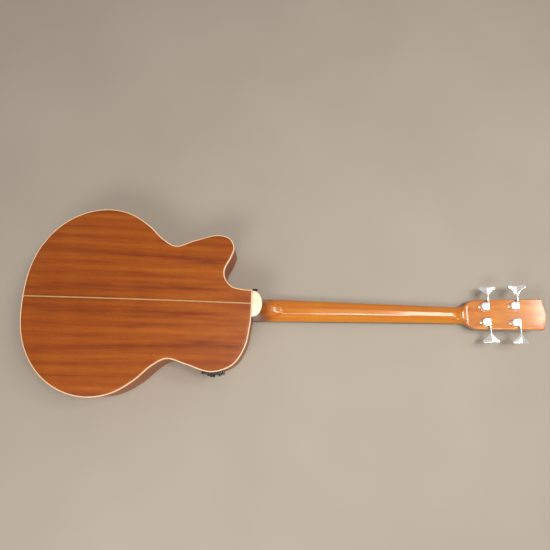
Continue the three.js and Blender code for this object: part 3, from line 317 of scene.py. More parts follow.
def make(name, shapes, finish, nodes=(), body="guitar", crease=35, ends="capped", flow=None):
    """One piece from rows of points: corners that meet are welded, faces turned outwards, and the
    shading is smooth up to the crease angle. flow gives each point its place along the surface."""
    shells = [skin(shape, ends) for shape in shapes]
    corners = np.concatenate([points for points, _ in shells])
    starts = np.cumsum([0] + [len(points) for points, _ in shells])
    faces = [[i + start for i in face] for start, (_, own) in zip(starts, shells) for face in own]
    mesh = bpy.data.meshes.new(name)
    mesh.from_pydata(laid(corners), [], faces)
    if flow is not None:
        layer = mesh.attributes.new("flow", "FLOAT_VECTOR", "POINT")
        layer.data.foreach_set("vector", flow.ravel() / 1000)
    grid = bmesh.new()
    grid.from_mesh(mesh)
    bmesh.ops.remove_doubles(grid, verts=grid.verts, dist=2e-6)
    bmesh.ops.dissolve_degenerate(grid, edges=grid.edges, dist=1e-7)
    bmesh.ops.recalc_face_normals(grid, faces=grid.faces)
    for face in grid.faces:
        face.smooth = True
    for edge in grid.edges:
        edge.smooth = edge.calc_face_angle(0) < math.radians(crease)
    grid.to_mesh(mesh)
    grid.free()
    mesh.materials.append(finish.material)
    piece = bpy.data.objects.new(name, mesh)
    bpy.context.scene.collection.objects.link(piece)
    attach(piece, body)
    if nodes:
        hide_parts(*nodes)
    return piece


# The plate's upper edge is eased by EDGE_STEP inwards and EDGE_DROP down
plate_edge = inset(rim, PLATE_INSET + EDGE_STEP)
outer = fan(plate_edge, BACK_MIDDLE, np.linspace(0, 1, 28))
outer = np.dstack([outer, back_height(outer) - PLATE_DROP])
joint = np.column_stack([inset(rim, PLATE_INSET), back_height(plate_edge) - EDGE_DROP])
foot = joint - [0, 0, PLATE_THICKNESS - EDGE_DROP]
inner = outer[[27, 18, 9, 0]] - [0, 0, PLATE_THICKNESS - PLATE_DROP]
back = np.concatenate([outer, joint[None], foot[None], inner])
make("back", [back], sapele, ["back_plate"])

# Back centre strip
# A straight-grained tan strip with a dark line on each side, let into the joint of the two
# halves of the back and scraped level with them.
STRIP_HALF = 1.8
STRIP_CLEARANCE = 0.6
strip_end = PLATE_INSET + STRIP_CLEARANCE
strip_section = np.array([
    [-STRIP_HALF, -0.9], [-STRIP_HALF, -0.06], [-1.62, -0.01], [0, 0], [1.62, -0.01],
    [STRIP_HALF, -0.06], [STRIP_HALF, -0.9],
])
strip = np.zeros((70, len(strip_section), 3))
strip[..., 0] = np.linspace(strip_end - BODY_LENGTH, -strip_end, len(strip))[:, None]
strip[..., 1] = strip_section[:, 0]
strip[..., 2] = back_height(strip) + strip_section[:, 1]
f = Finish("centre_strip_wood", "pale_inlay", Roughness=0.32, Coat_Weight=0.5, Coat_Roughness=0.1)
across = f.math("ABSOLUTE", f.add("SeparateXYZ", {0: f.place(1)})[1])
grain = f.noise(f.place((30, 1500, 1500)), 2.0)
tan = f.ramp(grain, (0.3, 172, 128, 68), (0.7, 208, 166, 100))
strip_wood = f.paint(f.mix(f.between(across, 0.00135, 0.0015), tan, srgb(70, 34, 18)))
make("centre_strip", [strip], strip_wood, ["back_centre_strip"])

# Sides
# Two thin strips of the same wood, bent over a hot iron: their grain runs round the body. They
# meet at the tail, stand between the two bindings, and end beside the neck block.


def moulding(section):
    """A section carried round the rim. Each of its corners is a step inwards, a share of the
    back's height and a rise above that."""
    rails = []
    for step, share, rise in section:
        p = inset(rim, step)
        rails.append(np.column_stack([p, share * back_height(p) + rise]))
    return np.stack(rails, 1)


side_edge = BINDING_HEIGHT + 0.05
side_steps = (0, 0.35, PLATE_INSET)
sides = moulding([(step, 0, side_edge) for step in side_steps]
                 + [(step, 1, -side_edge) for step in side_steps[::-1]])


def run_along(line):
    """How far along a line each of its points lies."""
    return np.concatenate([[0], np.cumsum(np.linalg.norm(np.diff(line, axis=0), axis=1))])


side_flow = np.zeros_like(sides)
side_flow[..., 0] = run_along(rim)[:, None]
side_flow[..., 1] = sides[..., 2]
side_wood = wood("sapele_sides", "mahogany", sapele_tones, sapele_pore, 150, flow=True, gloss=0.36)
for node, start, end in ("bass_side", 0, tail + 1), ("treble_side", tail, len(rim)):
    make(f"{node}_wood", [sides[start:end]], side_wood, [node], flow=side_flow[start:end])

# Binding
# Cream celluloid glued into a step round the back and round the soundboard, its outer edge
# rounded over by scraping and polished with the lacquer.
BINDING_TURN = [
    (PLATE_INSET, -EDGE_DROP), (PLATE_INSET - EDGE_STEP, 0), (1.5, 0), (1.05, -0.07), (0.6, -0.28),
    (0.27, -0.6), (0.07, -1.05), (0, -1.6), (0, -BINDING_HEIGHT), (PLATE_INSET, -BINDING_HEIGHT),
]
# Light goes a few millimetres into pale plastic
GLOW = {"Subsurface_Weight": 0.05, "Subsurface_Radius": (0.003, 0.002, 0.001)}
f = Finish("celluloid", "cream_binding", Coat_Weight=0.4, Coat_Roughness=0.08, **GLOW)
cloud = f.noise(f.place(9), 2.0)
speck = f.noise(f.place(900), 2.0)
cream = f.ramp(cloud, (0.35, 234, 192, 146), (0.65, 244, 210, 168))
f.bump(speck, 0.00002, 0.2)
celluloid = f.paint(f.mix(f.between(speck, 0.62, 0.75, 0, 0.25), cream, srgb(206, 160, 108)),
                    f.between(cloud, 0, 1, 0.24, 0.36))
for plate, share, up in ("back", 1, 1), ("top", 0, -1):
    rail = moulding([(step, share, up * drop) for step, drop in BINDING_TURN])
    make(f"{plate}_edge_binding", [rail], celluloid, [f"{plate}_binding"], crease=40,
         ends="joined")

# Neck, heel and head
# One piece of pale brown wood under amber gloss lacquer, carved from a D-shaped heel through a
# rounded shaft and a raised volute into a flat head, and set with a tenon in the neck block.
NECK_ANGLE = math.radians(0.5)
HEAD_ANGLE = math.radians(11)
SCALE_LENGTH = 864.0
NECK_FRETS = 16
NUT_X = SCALE_LENGTH * (1 - 2 ** (-NECK_FRETS / 12))
NUT_HALF = 21.5
JOINT_HALF = 29.65
HEAD_THICKNESS = 15.3
HEAD_LENGTH = 209.5
HEAD_CORNER = 203.0


def on_neck(points):
    """Points of the neck, turned back with it by the neck angle."""
    return turned(points, -NECK_ANGLE)


def on_head(points):
    """Points of the head, drawn from the nut's line, folded back by the head angle."""
    return on_neck(turned(points, NECK_ANGLE - HEAD_ANGLE) + [NUT_X, 0, 0])


def eased(table, places):
    """A smooth line through table rows without overshoot: cubics whose slope at each row is the
    harmonic mean of the slopes beside it, or level where they differ in sign."""
    table = np.asarray(table, float)
    t, y = table[:, 0], table[:, 1:]
    gap = np.diff(t)[:, None]
    slope = np.diff(y, axis=0) / gap
    product = slope[:-1] * slope[1:]
    total = np.where(product > 0, slope[:-1] + slope[1:], 1)
    inside = np.where(product > 0, 2 * product / total, 0)
    m = np.vstack([slope[:1], inside, slope[-1:]])
    k = np.clip(np.searchsorted(t, places, "right") - 1, 0, len(t) - 2)
    u = ((places - t[k])[:, None]) / gap[k]
    a, b, ma, mb = y[k], y[k + 1], m[k] * gap[k], m[k + 1] * gap[k]
    return a + u * ma + u**2 * (3 * (b - a) - 2 * ma - mb) + u**3 * (2 * (a - b) + ma + mb)


def neck_half(x):
    """Half the neck's width, even from the joint to the nut."""
    return JOINT_HALF + (NUT_HALF - JOINT_HALF) * x / NUT_X


HEAD_FLARE = np.array([
    [0, 21.5], [12, 22.3], [21, 24.6], [28.6, 29.6], [36.2, 34.1], [44, 36.7], [54, 37.4],
    [HEAD_CORNER, 38.7], [HEAD_LENGTH, 38.8],
])
SQUARENESS = 2.2
SHAFT_DEPTH = 18.5
SHAFT_TAPER = 3.0
HEEL_LEAN = 70.0
HEEL_END = 150.0
# Each row of a station table: edge x and z, ridge x and z, half width, squareness
heel_rows = [
    [0.3, 90.28, 24.0, 88.52, 31.0, 2.3], [0.3, 76, 24.9, 75.5, 30.8, 2.3],
    [0.3, 60, 26.6, 61.5, 30.5, 2.3], [0.3, 44, 29.8, 47, 30.1, 2.3],
    [0.3, 30, 35.5, 35, 29.8, 2.3], [0.3, 18, 44, 27.2, 29.6, 2.3],
    [0.3, 7, 56, 22.4, 29.5, 2.25], [2.5, 0.02, 72, 20.1, 29.5, SQUARENESS],
]
# Near the heel the ridge leans towards the head, by a square that is gone at the heel's end
shaft_x = np.array([30, 70, 110, 150, 240, 330, 420, 480, 505.0])
ridge_x = shaft_x + HEEL_LEAN * np.clip(1 - shaft_x / HEEL_END, 0, 1) ** 2
shaft_rows = np.column_stack([
    shaft_x, np.zeros_like(shaft_x), ridge_x, SHAFT_DEPTH - SHAFT_TAPER * ridge_x / NUT_X,
    neck_half(shaft_x), np.full_like(shaft_x, SQUARENESS),
])
# Along the head: place, depth and squareness, up over the volute and down to the flat
head_x, head_depth, head_square = np.transpose([
    (0, 17.0, SQUARENESS), (4, 17.9, 2.25), (8, 18.6, 2.3), (12, 18.95, 2.45), (16, 19.0, 2.8),
    (19, 18.4, 3.4), (22, 17.0, 4.6), (25, 15.8, 7),
    *((x, HEAD_THICKNESS, square) for x, square in (
        (29, 11), (36, 17), (46, 20), (54, 22), (110, 22), (165, 22), (195, 22),
    )),
])
head_half = eased(HEAD_FLARE, head_x)[:, 0]
head_rows = np.column_stack([
    head_x, np.zeros_like(head_x), head_x, head_depth, head_half, head_square,
])


def stations(rows, frame_of):
    """Table rows in a frame as rows in the guitar's own frame."""
    rows = np.array(rows, float)
    none = np.zeros(len(rows))
    edges = frame_of(np.stack([rows[:, 0], none, rows[:, 1]], 1))
    ridges = frame_of(np.stack([rows[:, 2], none, rows[:, 3]], 1))
    return np.column_stack([edges[:, [0, 2]], ridges[:, [0, 2]], rows[:, 4:]])


table = np.vstack([
    stations(heel_rows, np.asarray), stations(shaft_rows, on_neck), stations(head_rows, on_head),
])
table = np.column_stack([np.arange(len(table)), table])
# Rows between the stations: closer on the heel and on the head than along the shaft
last = len(table) - 1
levels = [np.arange(0, 8, 0.2), np.arange(8, 16, 0.25), np.arange(16, last, 0.2), [last]]
station = eased(table, np.concatenate(levels))
# Across the neck half an oval: cosine and sine of the turn, both raised to two over the
# squareness, give the shares of half width and depth, and the ridge is cut off flat at full depth
ROUND_STEPS = 64
RIDGE_CUT = 1.015


def raised(values, power):
    """Values raised to a power with their signs kept."""
    return np.sign(values) * np.abs(values) ** power


turn = np.linspace(0, math.pi, ROUND_STEPS + 1)
power = 2 / station[:, 5:6]
sideways = raised(np.cos(turn), power)
sideways[:, ROUND_STEPS // 2] = 0
depth = np.minimum(1, RIDGE_CUT * raised(np.sin(turn), power))
depth[:, [0, -1]] = 0
edge, ridge = station[:, None, 0:2], station[:, None, 2:4]
flat = edge + (ridge - edge) * depth[..., None]
neck = np.stack([flat[..., 0], station[:, 4:5] * sideways, flat[..., 1]], -1)
# The head ends in a shallow point, its edges eased by drawing the last section together
corner_half = HEAD_FLARE[-2, 1]
tip = np.array([[HEAD_LENGTH - 1.2, 1], [HEAD_LENGTH - 0.35, 0.991], [HEAD_LENGTH, 0.972]])
ends = np.zeros((len(tip), len(turn), 3))
ends[..., 1] = tip[:, 1:] * corner_half * sideways[-1]
ends[..., 0] = tip[:, :1] - (HEAD_LENGTH - HEAD_CORNER) * np.abs(ends[..., 1]) / corner_half
ends[..., 2] = HEAD_THICKNESS * (0.5 + (depth[-1] - 0.5) * tip[:, 1:])
neck = np.concatenate([neck, on_head(ends)])
neck_tones = [(184, 94, 5), (199, 111, 8), (210, 127, 13), (220, 144, 24)]
# The neck's tint darkens the heel next to the cap: painted shade where its curved front turns away
# from the light, and darker end grain.
neck_wood = wood("amber_neck", "neck_wood", neck_tones, srgb(156, 74, 12), 240, pores=0.35,
                 gloss=0.34, coat=0.9, shine=0.12, stain_and_shade=((0.4, 0.2, 0.25, 1), -0.066, -0.036))
make("neck_wood", [neck], neck_wood, ["neck"], crease=50)

# Heel cap
# A D-shaped slip of ivory-white plastic glued over the end of the heel, its upper edge eased.
CAP_THICKNESS = 3.4
CAP_REACH = 24.0
CAP_HALF = 31.0
CAP_GAP = 0.3
CAP_SLOPE = math.atan((HEEL_DEPTH - back_height(np.array([CAP_REACH, 0]))) / CAP_REACH)


def stack(line, steps):
    """A plan outline carried up through levels, each a step inwards and a height."""
    return np.stack([np.column_stack([inset(line, s), np.full(len(line), z)]) for s, z in steps])


def eased_edge(low, high, radius, count=5):
    """Levels of a slab with an upright wall and a quarter-round upper edge."""
    t = np.linspace(0, math.pi / 2, count)
    return [(0, low)] + [(radius * (1 - math.cos(a)), high - radius * (1 - math.sin(a))) for a in t]


bend = np.linspace(-math.pi / 2, math.pi / 2, 49)
cap_bow = (CAP_REACH - CAP_GAP) * np.abs(np.cos(bend)) ** (2 / 2.3)
cap_line = np.column_stack([CAP_GAP + cap_bow, CAP_HALF * np.sin(bend)])
cap_line[[0, -1], 0] = CAP_GAP
cap = turned(stack(cap_line, eased_edge(-CAP_THICKNESS, 0, 0.9)), CAP_SLOPE) + [0, 0, HEEL_DEPTH]
f = Finish("ivory_plastic", "ivory", Coat_Weight=0.3, Coat_Roughness=0.08, **GLOW)
cloud = f.noise(f.place((30, 90, 30)), 2.0)
fine = f.noise(f.place((700, 2400, 700)), 2.0)
f.bump(fine, 0.00002, 0.25)
ivory = f.paint(f.ramp(cloud, (0.3, 240, 230, 198), (0.7, 248, 239, 211)),
                f.between(fine, 0.2, 0.8, 0.22, 0.34))
make("heel_cap_plate", [cap], ivory, ["heel_cap"])

# Tuners
# Four sealed machines on the back of the head: a polished chrome housing held by a brass screw
# in its ear, an arm for the worm shaft, and a fishtail key folded along its middle.
TUNER_PLACES = [(69, 19.8, 1), (138, 21.2, 1), (138, 21.2, -1), (69, 19.8, -1)]
WORM_PLACE = (8.9, 0, 5.6)
KEY_START = 23.5
KEY_LENGTH = 28.0
KEY_FOLD = math.tan(math.radians(17))
KEY_NOTCH = 0.7
KEY_ANGLES = [-14, 176, 11, -4]
# Share of the key's length, then half its width; below, half its thickness
KEY_WIDTHS = [
    [0, 2.4], [0.08, 2.5], [0.2, 3.6], [0.33, 5.9], [0.45, 8.4], [0.55, 11.2], [0.64, 14.2],
    [0.72, 17.2], [0.79, 18.8], [0.86, 19.3], [0.93, 19.0], [0.975, 17.8], [1, 16],
]
KEY_DEPTHS = [[0, 2.1], [0.12, 1.9], [0.3, 1.5], [0.6, 1.3], [0.92, 1.2], [0.975, 0.9], [1, 0.3]]


def spun(profile, count=48):
    """A profile of radius and height turned about Z, one row of points for each of its corners."""
    profile = np.asarray(profile, float)
    angle = np.linspace(0, 2 * math.pi, count, endpoint=False)
    across = profile[:, :1] * np.cos(angle), profile[:, :1] * np.sin(angle)
    return np.stack([*across, np.repeat(profile[:, 1:], count, 1)], -1)


def on_tuner(points, i):
    """Points of a tuner, drawn on the head's back with Y outwards, on one side or mirrored."""
    along, across, side = TUNER_PLACES[i]
    return on_head((np.asarray(points, float) + [along, across, HEAD_THICKNESS]) * [1, side, 1])


def along_y(points, place):
    """Points drawn about Z laid along Y from a place."""
    p = np.asarray(points, float)
    return np.stack([p[..., 0], p[..., 2], p[..., 1]], -1) + place


def on_circle(radius, turns):
    """Points on a circle at given turns."""
    return radius * np.column_stack([np.cos(turns), np.sin(turns)])


def d_plan(radius, end, corner):
    """Half a circle towards the nut, closed by a flat end with rounded corners."""
    arc = np.linspace(math.pi / 2, 1.5 * math.pi, 33)
    bend = np.linspace(0, math.pi / 2, 7)
    lower = np.column_stack([
        end - corner + corner * np.sin(bend), -radius + corner - corner * np.cos(bend),
    ])
    return np.vstack([on_circle(radius, arc), lower, lower[::-1] * [1, -1]])


def screw_top(radius, low, high, cross, count=48):
    """A pan head: a shallow dome less a cross of two grooves that fades out towards the rim."""
    r = np.concatenate([np.linspace(0, radius * 0.92, 14), [radius * 0.98, radius, radius]])
    angle = np.linspace(0, 2 * math.pi, count, endpoint=False)
    x, y = r[:, None] * np.cos(angle), r[:, None] * np.sin(angle)
    groove = np.maximum(np.exp(-((x / cross) ** 4)), np.exp(-((y / cross) ** 4)))
    groove = groove * np.clip((radius * 0.72 - r[:, None]) / (radius * 0.12), 0, 1)
    z = high - 0.3 * (high - low) * (r[:, None] / radius) ** 2 - 0.7 * (high - low) * groove
    z[-2] = high - 0.5 * (high - low)
    z[-1] = low
    return np.stack([x, y, z], -1)


f = Finish("chrome_plate", "chrome", Metallic=1.0, Specular_IOR_Level=0.5)
smear = f.noise(f.place(60), 2.0, distortion=0.6)
fine = f.noise(f.place((1600, 1600, 400)), 2.0)
f.bump(fine, 0.000006, 0.15)
chrome = f.rubbed(smear, (226, 226, 228), (240, 240, 240), (0.09, 0.17))
f = Finish("brass_screw", "bronze", Metallic=1.0)
rub = f.noise(f.place(500), 3.0)
brass = f.rubbed(rub, (196, 150, 80), (232, 194, 122), (0.2, 0.36))

# A foot, a small step in, then the wall and its rounded edge
FOOT_STEP = 0.45
housing_levels = [(0, 0.3), (0, 1.0), (0.15, 1.2), (FOOT_STEP, 1.35)]
housing_levels += [(FOOT_STEP + s, z) for s, z in eased_edge(1.35, 11.0, 1.9, 7)[1:]]
housing = stack(d_plan(10.2, 10.9, 3.0), housing_levels)
EAR_RADIUS = 3.5
ear_turn = np.linspace(math.pi / 2, 1.5 * math.pi, 17)
ear_plan = on_circle(EAR_RADIUS, ear_turn) - [12.5, 0]
ear = stack(np.vstack([[0, EAR_RADIUS], ear_plan, [0, -EAR_RADIUS]]), eased_edge(0.3, 2.4, 0.5))
screw = screw_top(2.8, 2.3, 3.7, 0.36) + [-12.9, 0, 0]
arm = spun([
    (0, 4), (3.2, 4), (3.2, 9.6), (2.9, 10.4), (2.7, 17.6), (2.9, 18), (2.9, 19.2), (2.6, 19.5),
    (0, 19.5),
])
arm = along_y(arm, WORM_PLACE)
shaft = spun([(0, 12), (2.0, 12), (2.0, 22.4), (2.5, 23), (2.5, 24.2), (0, 24.2)])
shaft = along_y(shaft, WORM_PLACE)
# The key's sections are ovals thinned to the sides, bent down from the middle by the fold, and
# towards the end of the key drawn back in the middle by the notch
way = np.concatenate([np.linspace(0, 0.84, 22), np.linspace(0.86, 1, 12)])
half_wide, half_deep = eased(KEY_WIDTHS, way), eased(KEY_DEPTHS, way)
around = np.linspace(0, 2 * math.pi, 48, endpoint=False)
share = raised(np.cos(around), 0.8)
share[[12, 36]] = 0
rise = raised(np.sin(around), 0.7) * (1 - 0.3 * share**2)
key = np.zeros((len(way), len(around), 3))
key[..., 0] = half_wide * share
key[..., 1] = KEY_START + KEY_LENGTH * way[:, None]
key[..., 1] -= KEY_NOTCH * (1 - np.abs(share)) * way[:, None] ** 5
key[..., 2] = half_deep * rise - KEY_FOLD * np.abs(key[..., 0])
for i, angle in enumerate(KEY_ANGLES):
    wing = turned(key, math.radians(angle)) + WORM_PLACE
    make(f"tuner_case_{i + 1}", [on_tuner(shape, i) for shape in (housing, ear, arm)], chrome,
         [f"tuner_housing_{i + 1}"], crease=40)
    make(f"tuner_screw_{i + 1}", [on_tuner(screw, i)], brass, crease=50, ends="open")
    make(f"tuner_button_{i + 1}", [on_tuner(shaft, i), on_tuner(wing, i)], chrome,
         [f"tuner_key_{i + 1}"], f"key_{i + 1}", crease=26)

# Tuner posts and bushings
# Slotted chrome posts stand out of the face of the head, each turning in a ring pressed into the
# bore, and waisted so that the string's turns stay on it.
VENEER_THICKNESS = 1.3
FACE = -VENEER_THICKNESS - HEAD_THICKNESS
TIP = FACE - 22.0
SLOT_HALF = 1.5
SLOT_FLOOR = TIP + 7.0
post = spun([
    (0, SLOT_FLOOR), (5, SLOT_FLOOR + 0.01), (5, FACE - 4.7), (5.4, FACE - 3.4), (6, FACE - 2.7),
    (6, 3.0), (0, 3.0),
], 40)
# Each side of the slot is part of a circle closed by its chord, carried from the tip down
half_levels = [(5.5, TIP), (5.85, TIP + 0.15), (6, TIP + 0.5), (6, TIP + 2), (5.6, TIP + 2.8),
               (5, TIP + 4), (5, SLOT_FLOOR)]
halves = []
for side in (-1, 1):
    rows = []
    for radius, z in half_levels:
        start = math.asin(SLOT_HALF / radius)
        arc = np.linspace(start, math.pi - start, 20)
        rows.append(np.column_stack([
            radius * np.cos(arc), side * radius * np.sin(arc), np.full(len(arc), z),
        ]))
    halves.append(np.stack(rows))
ring = spun([
    (6.3, -0.3), (8, -0.3), (8, FACE - 0.3), (10.2, FACE - 0.3), (10.2, FACE - 1.5),
    (9.7, FACE - 2.1), (8.6, FACE - 2.4), (6.3, FACE - 2.4),
])
for i in range(4):
    make(f"string_post_{i + 1}", [on_tuner(shape, i) for shape in (post, *halves)], chrome,
         [f"tuner_post_{i + 1}"], f"post_{i + 1}")
    make(f"post_ring_{i + 1}", [on_tuner(ring, i)], chrome, [f"tuner_bushing_{i + 1}"],
         ends="joined")

# Head veneer
# A thin slip of dark rosewood glued over the face of the head and trimmed to its outline.
plate_x = np.array([5.8, *np.linspace(8, 54, 24), 120, HEAD_CORNER])
plate_half = eased(HEAD_FLARE, plate_x)[:, 0] - 0.05
veneer_line = np.vstack([
    np.column_stack([plate_x, -plate_half]), [HEAD_LENGTH, 0],
    np.column_stack([plate_x, plate_half])[::-1],
])
veneer = on_head(stack(veneer_line, [
    (0, -0.3), (0, 0.2 - VENEER_THICKNESS), (0.2, -VENEER_THICKNESS),
]))
rosewood_tones = [(34, 18, 13), (56, 31, 21), (78, 44, 29), (104, 62, 40)]
rosewood = wood("rosewood", "rosewood", rosewood_tones, srgb(16, 9, 7), 260, pores=0.8, gloss=0.42)
make("head_veneer", [veneer], rosewood, ["headplate"])

# Strap button
# A turned black button screwed into the heel over a felt washer, with a steel screw in its end.
BUTTON_PLACE = np.array([5.0, 30.3, 55.0])


def black_plastic(name, slot, gloss, texture):
    """Moulded black plastic: a fine dimpled skin and uneven sheen from one fast noise."""
    f = Finish(name, slot, Specular_IOR_Level=0.5)
    haze = f.noise(f.place(80), 2.0)
    grain = f.noise(f.place((texture, texture, texture)), 2.0)
    f.bump(grain, 0.00004, 0.3)
    black = f.ramp(haze, (0.3, 17, 17, 19), (0.7, 27, 27, 29))
    return f.paint(black, f.between(grain, 0.25, 0.75, gloss, gloss + 0.12))


gloss_black = black_plastic("black_gloss_plastic", "black_gloss", 0.18, 900)
matt_black = black_plastic("black_matt_plastic", "black_matt", 0.5, 1400)

button = spun([
    (0, 0.9), (5, 0.9), (5, 1.5), (4.1, 2.2), (3.4, 3.4), (3.2, 5), (3.2, 7), (3.8, 8.4),
    (5.2, 9.4), (6.5, 10), (7, 10.7), (7, 11.6), (6.6, 12.2), (5.8, 12.5), (3.4, 12.5),
    (3.1, 12.1), (0, 12.1),
])
make("strap_knob", [along_y(button, BUTTON_PLACE)], gloss_black, ["heel_strap_button"])
washer = spun([(0, -0.8), (5.6, -0.8), (5.8, -0.2), (5.8, 0.6), (5.4, 0.9), (0, 0.9)])
make("strap_knob_felt", [along_y(washer, BUTTON_PLACE)], matt_black)
f = Finish("plain_steel", "steel", Metallic=1.0)
rub = f.noise(f.place(300), 3.0)
steel = f.rubbed(rub, (140, 140, 144), (180, 180, 182), (0.25, 0.42))
button_screw = screw_top(2.9, 11.6, 12.5, 0.4)
make("strap_knob_screw", [along_y(button_screw, BUTTON_PLACE)], steel, crease=50, ends="open")

# Preamp
# A moulded black panel let into the bass side over the box of its circuit board, held by four
# screws, with three tone sliders in framed wells and a knurled volume knob.
PANEL_PLACE = (-86, -162.225, 49.68)
PANEL_FACE = 3.75
MARK_FOOT = 3.5
KNOB_UP = 19.0
SLIDER_Y = -9.0
SLIDERS = [("bass_slider", -13), ("middle_slider", 0), ("treble_slider", 13)]


def on_side(points):
    """Points drawn on the panel, X along the guitar, Y towards the back and Z outwards."""
    p = np.asarray(points, float)
    return np.stack([p[..., 0], -p[..., 2], p[..., 1]], -1) + PANEL_PLACE


def rounded(half_long, half_tall, corner, steps=7):
    """A rectangle whose corners are quarter circles."""
    bend = np.linspace(0, math.pi / 2, steps)
    turn = np.concatenate([bend + k * math.pi / 2 for k in range(4)])
    middles = np.array([[1, 1], [-1, 1], [-1, -1], [1, -1]])
    middles = middles * [half_long - corner, half_tall - corner]
    return np.repeat(middles, steps, 0) + on_circle(corner, turn)


def dress(finish, *names):
    """Gives nodes that stay as they are a finish."""
    for name in names:
        for slot in frame["nodes"][name].material_slots:
            slot.material = finish.material


panel = stack(rounded(25, 33, 5), [
    (0, -4), (0, 2.6), (0.25, 3.4), (0.8, 3.9), (1.5, 4.1), (2.4, 4.1), (2.8, 3.95),
    (3.2, PANEL_FACE),
])
make("preamp_face", [on_side(panel)], gloss_black, ["preamp_panel"], crease=30)
dress(matt_black, "preamp_box")
well = stack(rounded(4.3, 14.1, 2.2), [
    (0, MARK_FOOT), (0, 4.4), (0.3, 4.75), (0.9, 4.75), (1.2, 4.4), (1.2, MARK_FOOT),
])
slit = stack(rounded(0.9, 11, 0.88), [(0, MARK_FOOT), (0, 3.8), (0.2, 3.86)])
dial_ring = spun([
    (7.1, MARK_FOOT), (8.4, MARK_FOOT), (8.4, 3.95), (8.1, 4.2), (7.4, 4.2), (7.1, 3.95),
], 64)
wells = [on_side(well + [x, SLIDER_Y, 0]) for _, x in SLIDERS]
slits = [on_side(slit + [x, SLIDER_Y, 0]) for _, x in SLIDERS]
wells.append(on_side(dial_ring + [0, KNOB_UP, 0]))
make("preamp_frames", wells, matt_black, ends="joined")
make("slider_slits", slits, matt_black)
f = Finish("white_print", "ivory", Specular_IOR_Level=0.4)
worn = f.noise(f.place(1800), 2.0)
print_ink = f.paint(f.ramp(worn, (0.3, 176, 176, 172), (0.6, 218, 218, 212)),
                    f.between(worn, 0.3, 0.7, 0.4, 0.55))
bar = stack(rounded(1.1, 0.2, 0.18, 3), [(0, MARK_FOOT), (0, 3.78), (0.08, 3.82)])
dot = spun([(0, 3.82), (0.42, 3.8), (0.5, 3.7), (0.5, MARK_FOOT), (0, MARK_FOOT)], 10)
marks = [
    on_side(bar + [x, SLIDER_Y + step, 0])
    for x in (-19.5, -6.5, 6.5, 19.5) for step in (-9, -4.5, 0, 4.5, 9)
]
DIAL_RADIUS = 10.4
for turn in np.radians(np.linspace(-150, 150, 11)):
    place = [DIAL_RADIUS * math.sin(turn), KNOB_UP + DIAL_RADIUS * math.cos(turn), 0]
    marks.append(on_side(dot + place))
make("preamp_marks", marks, print_ink)
panel_screw = screw_top(1.7, MARK_FOOT, 4.7, 0.26, 32)
panel_screws = [on_side(panel_screw + [x, y, 0]) for x in (-19, 19) for y in (-27.5, 27.5)]
make("preamp_screws", panel_screws, steel, crease=50, ends="open")
KNOB_GROOVES = 30
knob = spun([
    (0, 1), (2.4, 1), (2.4, 4.4), (5.8, 4.4), (6, 4.6), (6, 5.3), (5.7, 5.6), (5.6, 5.9),
    (5.5, 9.2), (5.3, 9.8), (4.9, 10.1), (4.4, 10.1), (4.0, 9.9), (0, 9.8),
], 180)
# Grooves down the knob's wall, rows 7 and 8, each a wave of the turning angle
ribs = np.cos(KNOB_GROOVES * np.linspace(0, 2 * math.pi, 180, endpoint=False))
knob[7:9, :, :2] *= 1 - 0.03 * (1 + ribs[:, None])
pointer = stack(rounded(0.4, 2.0, 0.35, 4), [(0, 9.5), (0, 9.95), (0.1, 10.05)]) + [0, 2.9, 0]
make("volume_dial", [on_side(knob + [0, KNOB_UP, 0])], matt_black, ["volume_knob"], "volume_knob",
     crease=40)
make("volume_pointer", [on_side(pointer + [0, KNOB_UP, 0])], print_ink, body="volume_knob")
# The cap's grip is a hollow between two crests, with fine ridges across it
CAP_END = 3.5
CAP_FOOT = 4.4
reach = np.concatenate([[-CAP_END], np.linspace(-3.3, 3.3, 31), [CAP_END]])
crest = 6.1 + 1.4 * np.abs(reach / CAP_END) ** 1.6 + 0.1 * np.cos(reach * 2 * math.pi / 1.1)
crest[[0, -1]] = 7.0
narrow = np.ones(len(reach))
narrow[[0, -1]] = 0.94
section = np.array([[2.4, 0], [2.5, 0.1], [2.45, 0.75], [2.3, 0.93], [1.9, 1]])
section = np.vstack([section * [-1, 1], section[::-1]])
cap = np.zeros((len(reach), len(section), 3))
cap[..., 0] = section[:, 0] * narrow[:, None]
cap[..., 1] = reach[:, None]
cap[..., 2] = CAP_FOOT + section[:, 1] * (crest[:, None] - CAP_FOOT)
stem = stack(rounded(1, 1, 0.3, 3), [(0, 2.0), (0, 4.5)])
line = stack(rounded(2.2, 0.3, 0.25, 3), [(0, 5.8), (0, 6.25), (0.08, 6.3)])
for name, x in SLIDERS:
    place = np.array([x, SLIDER_Y, 0])
    make(f"{name}_cap", [on_side(cap + place), on_side(stem + place)], matt_black, [name], name,
         crease=45)
    make(f"{name}_line", [on_side(line + place)], print_ink, body=name)

# End pin jack
# The strap pin at the tail is turned from brass and chromed, with the output socket bored along
# its axis: a flange against the side, a waist for the strap and a rounded head.
JACK_HEIGHT = 55.5


def on_tail(points):
    """Points drawn about Z laid along the guitar's end, with Z outwards."""
    return turned(points, -math.pi / 2) + [-BODY_LENGTH, 0, JACK_HEIGHT]


jack = spun([
    (0, -40), (6, -40), (6, 0.2), (10, 0.2), (10, 2.2), (9.6, 2.8), (7.4, 3.2), (6.2, 4.2),
    (5.8, 6), (6.1, 7.5), (7.4, 8.6), (9.3, 9.2), (10, 9.9), (10, 11.6), (9.6, 12.5), (8.6, 13),
    (4.5, 13), (3.7, 12.7), (3.4, 12.2), (3.4, -27), (0, -27),
], 64)
make("end_pin", [on_tail(jack)], chrome, ["end_pin_jack"], crease=45)

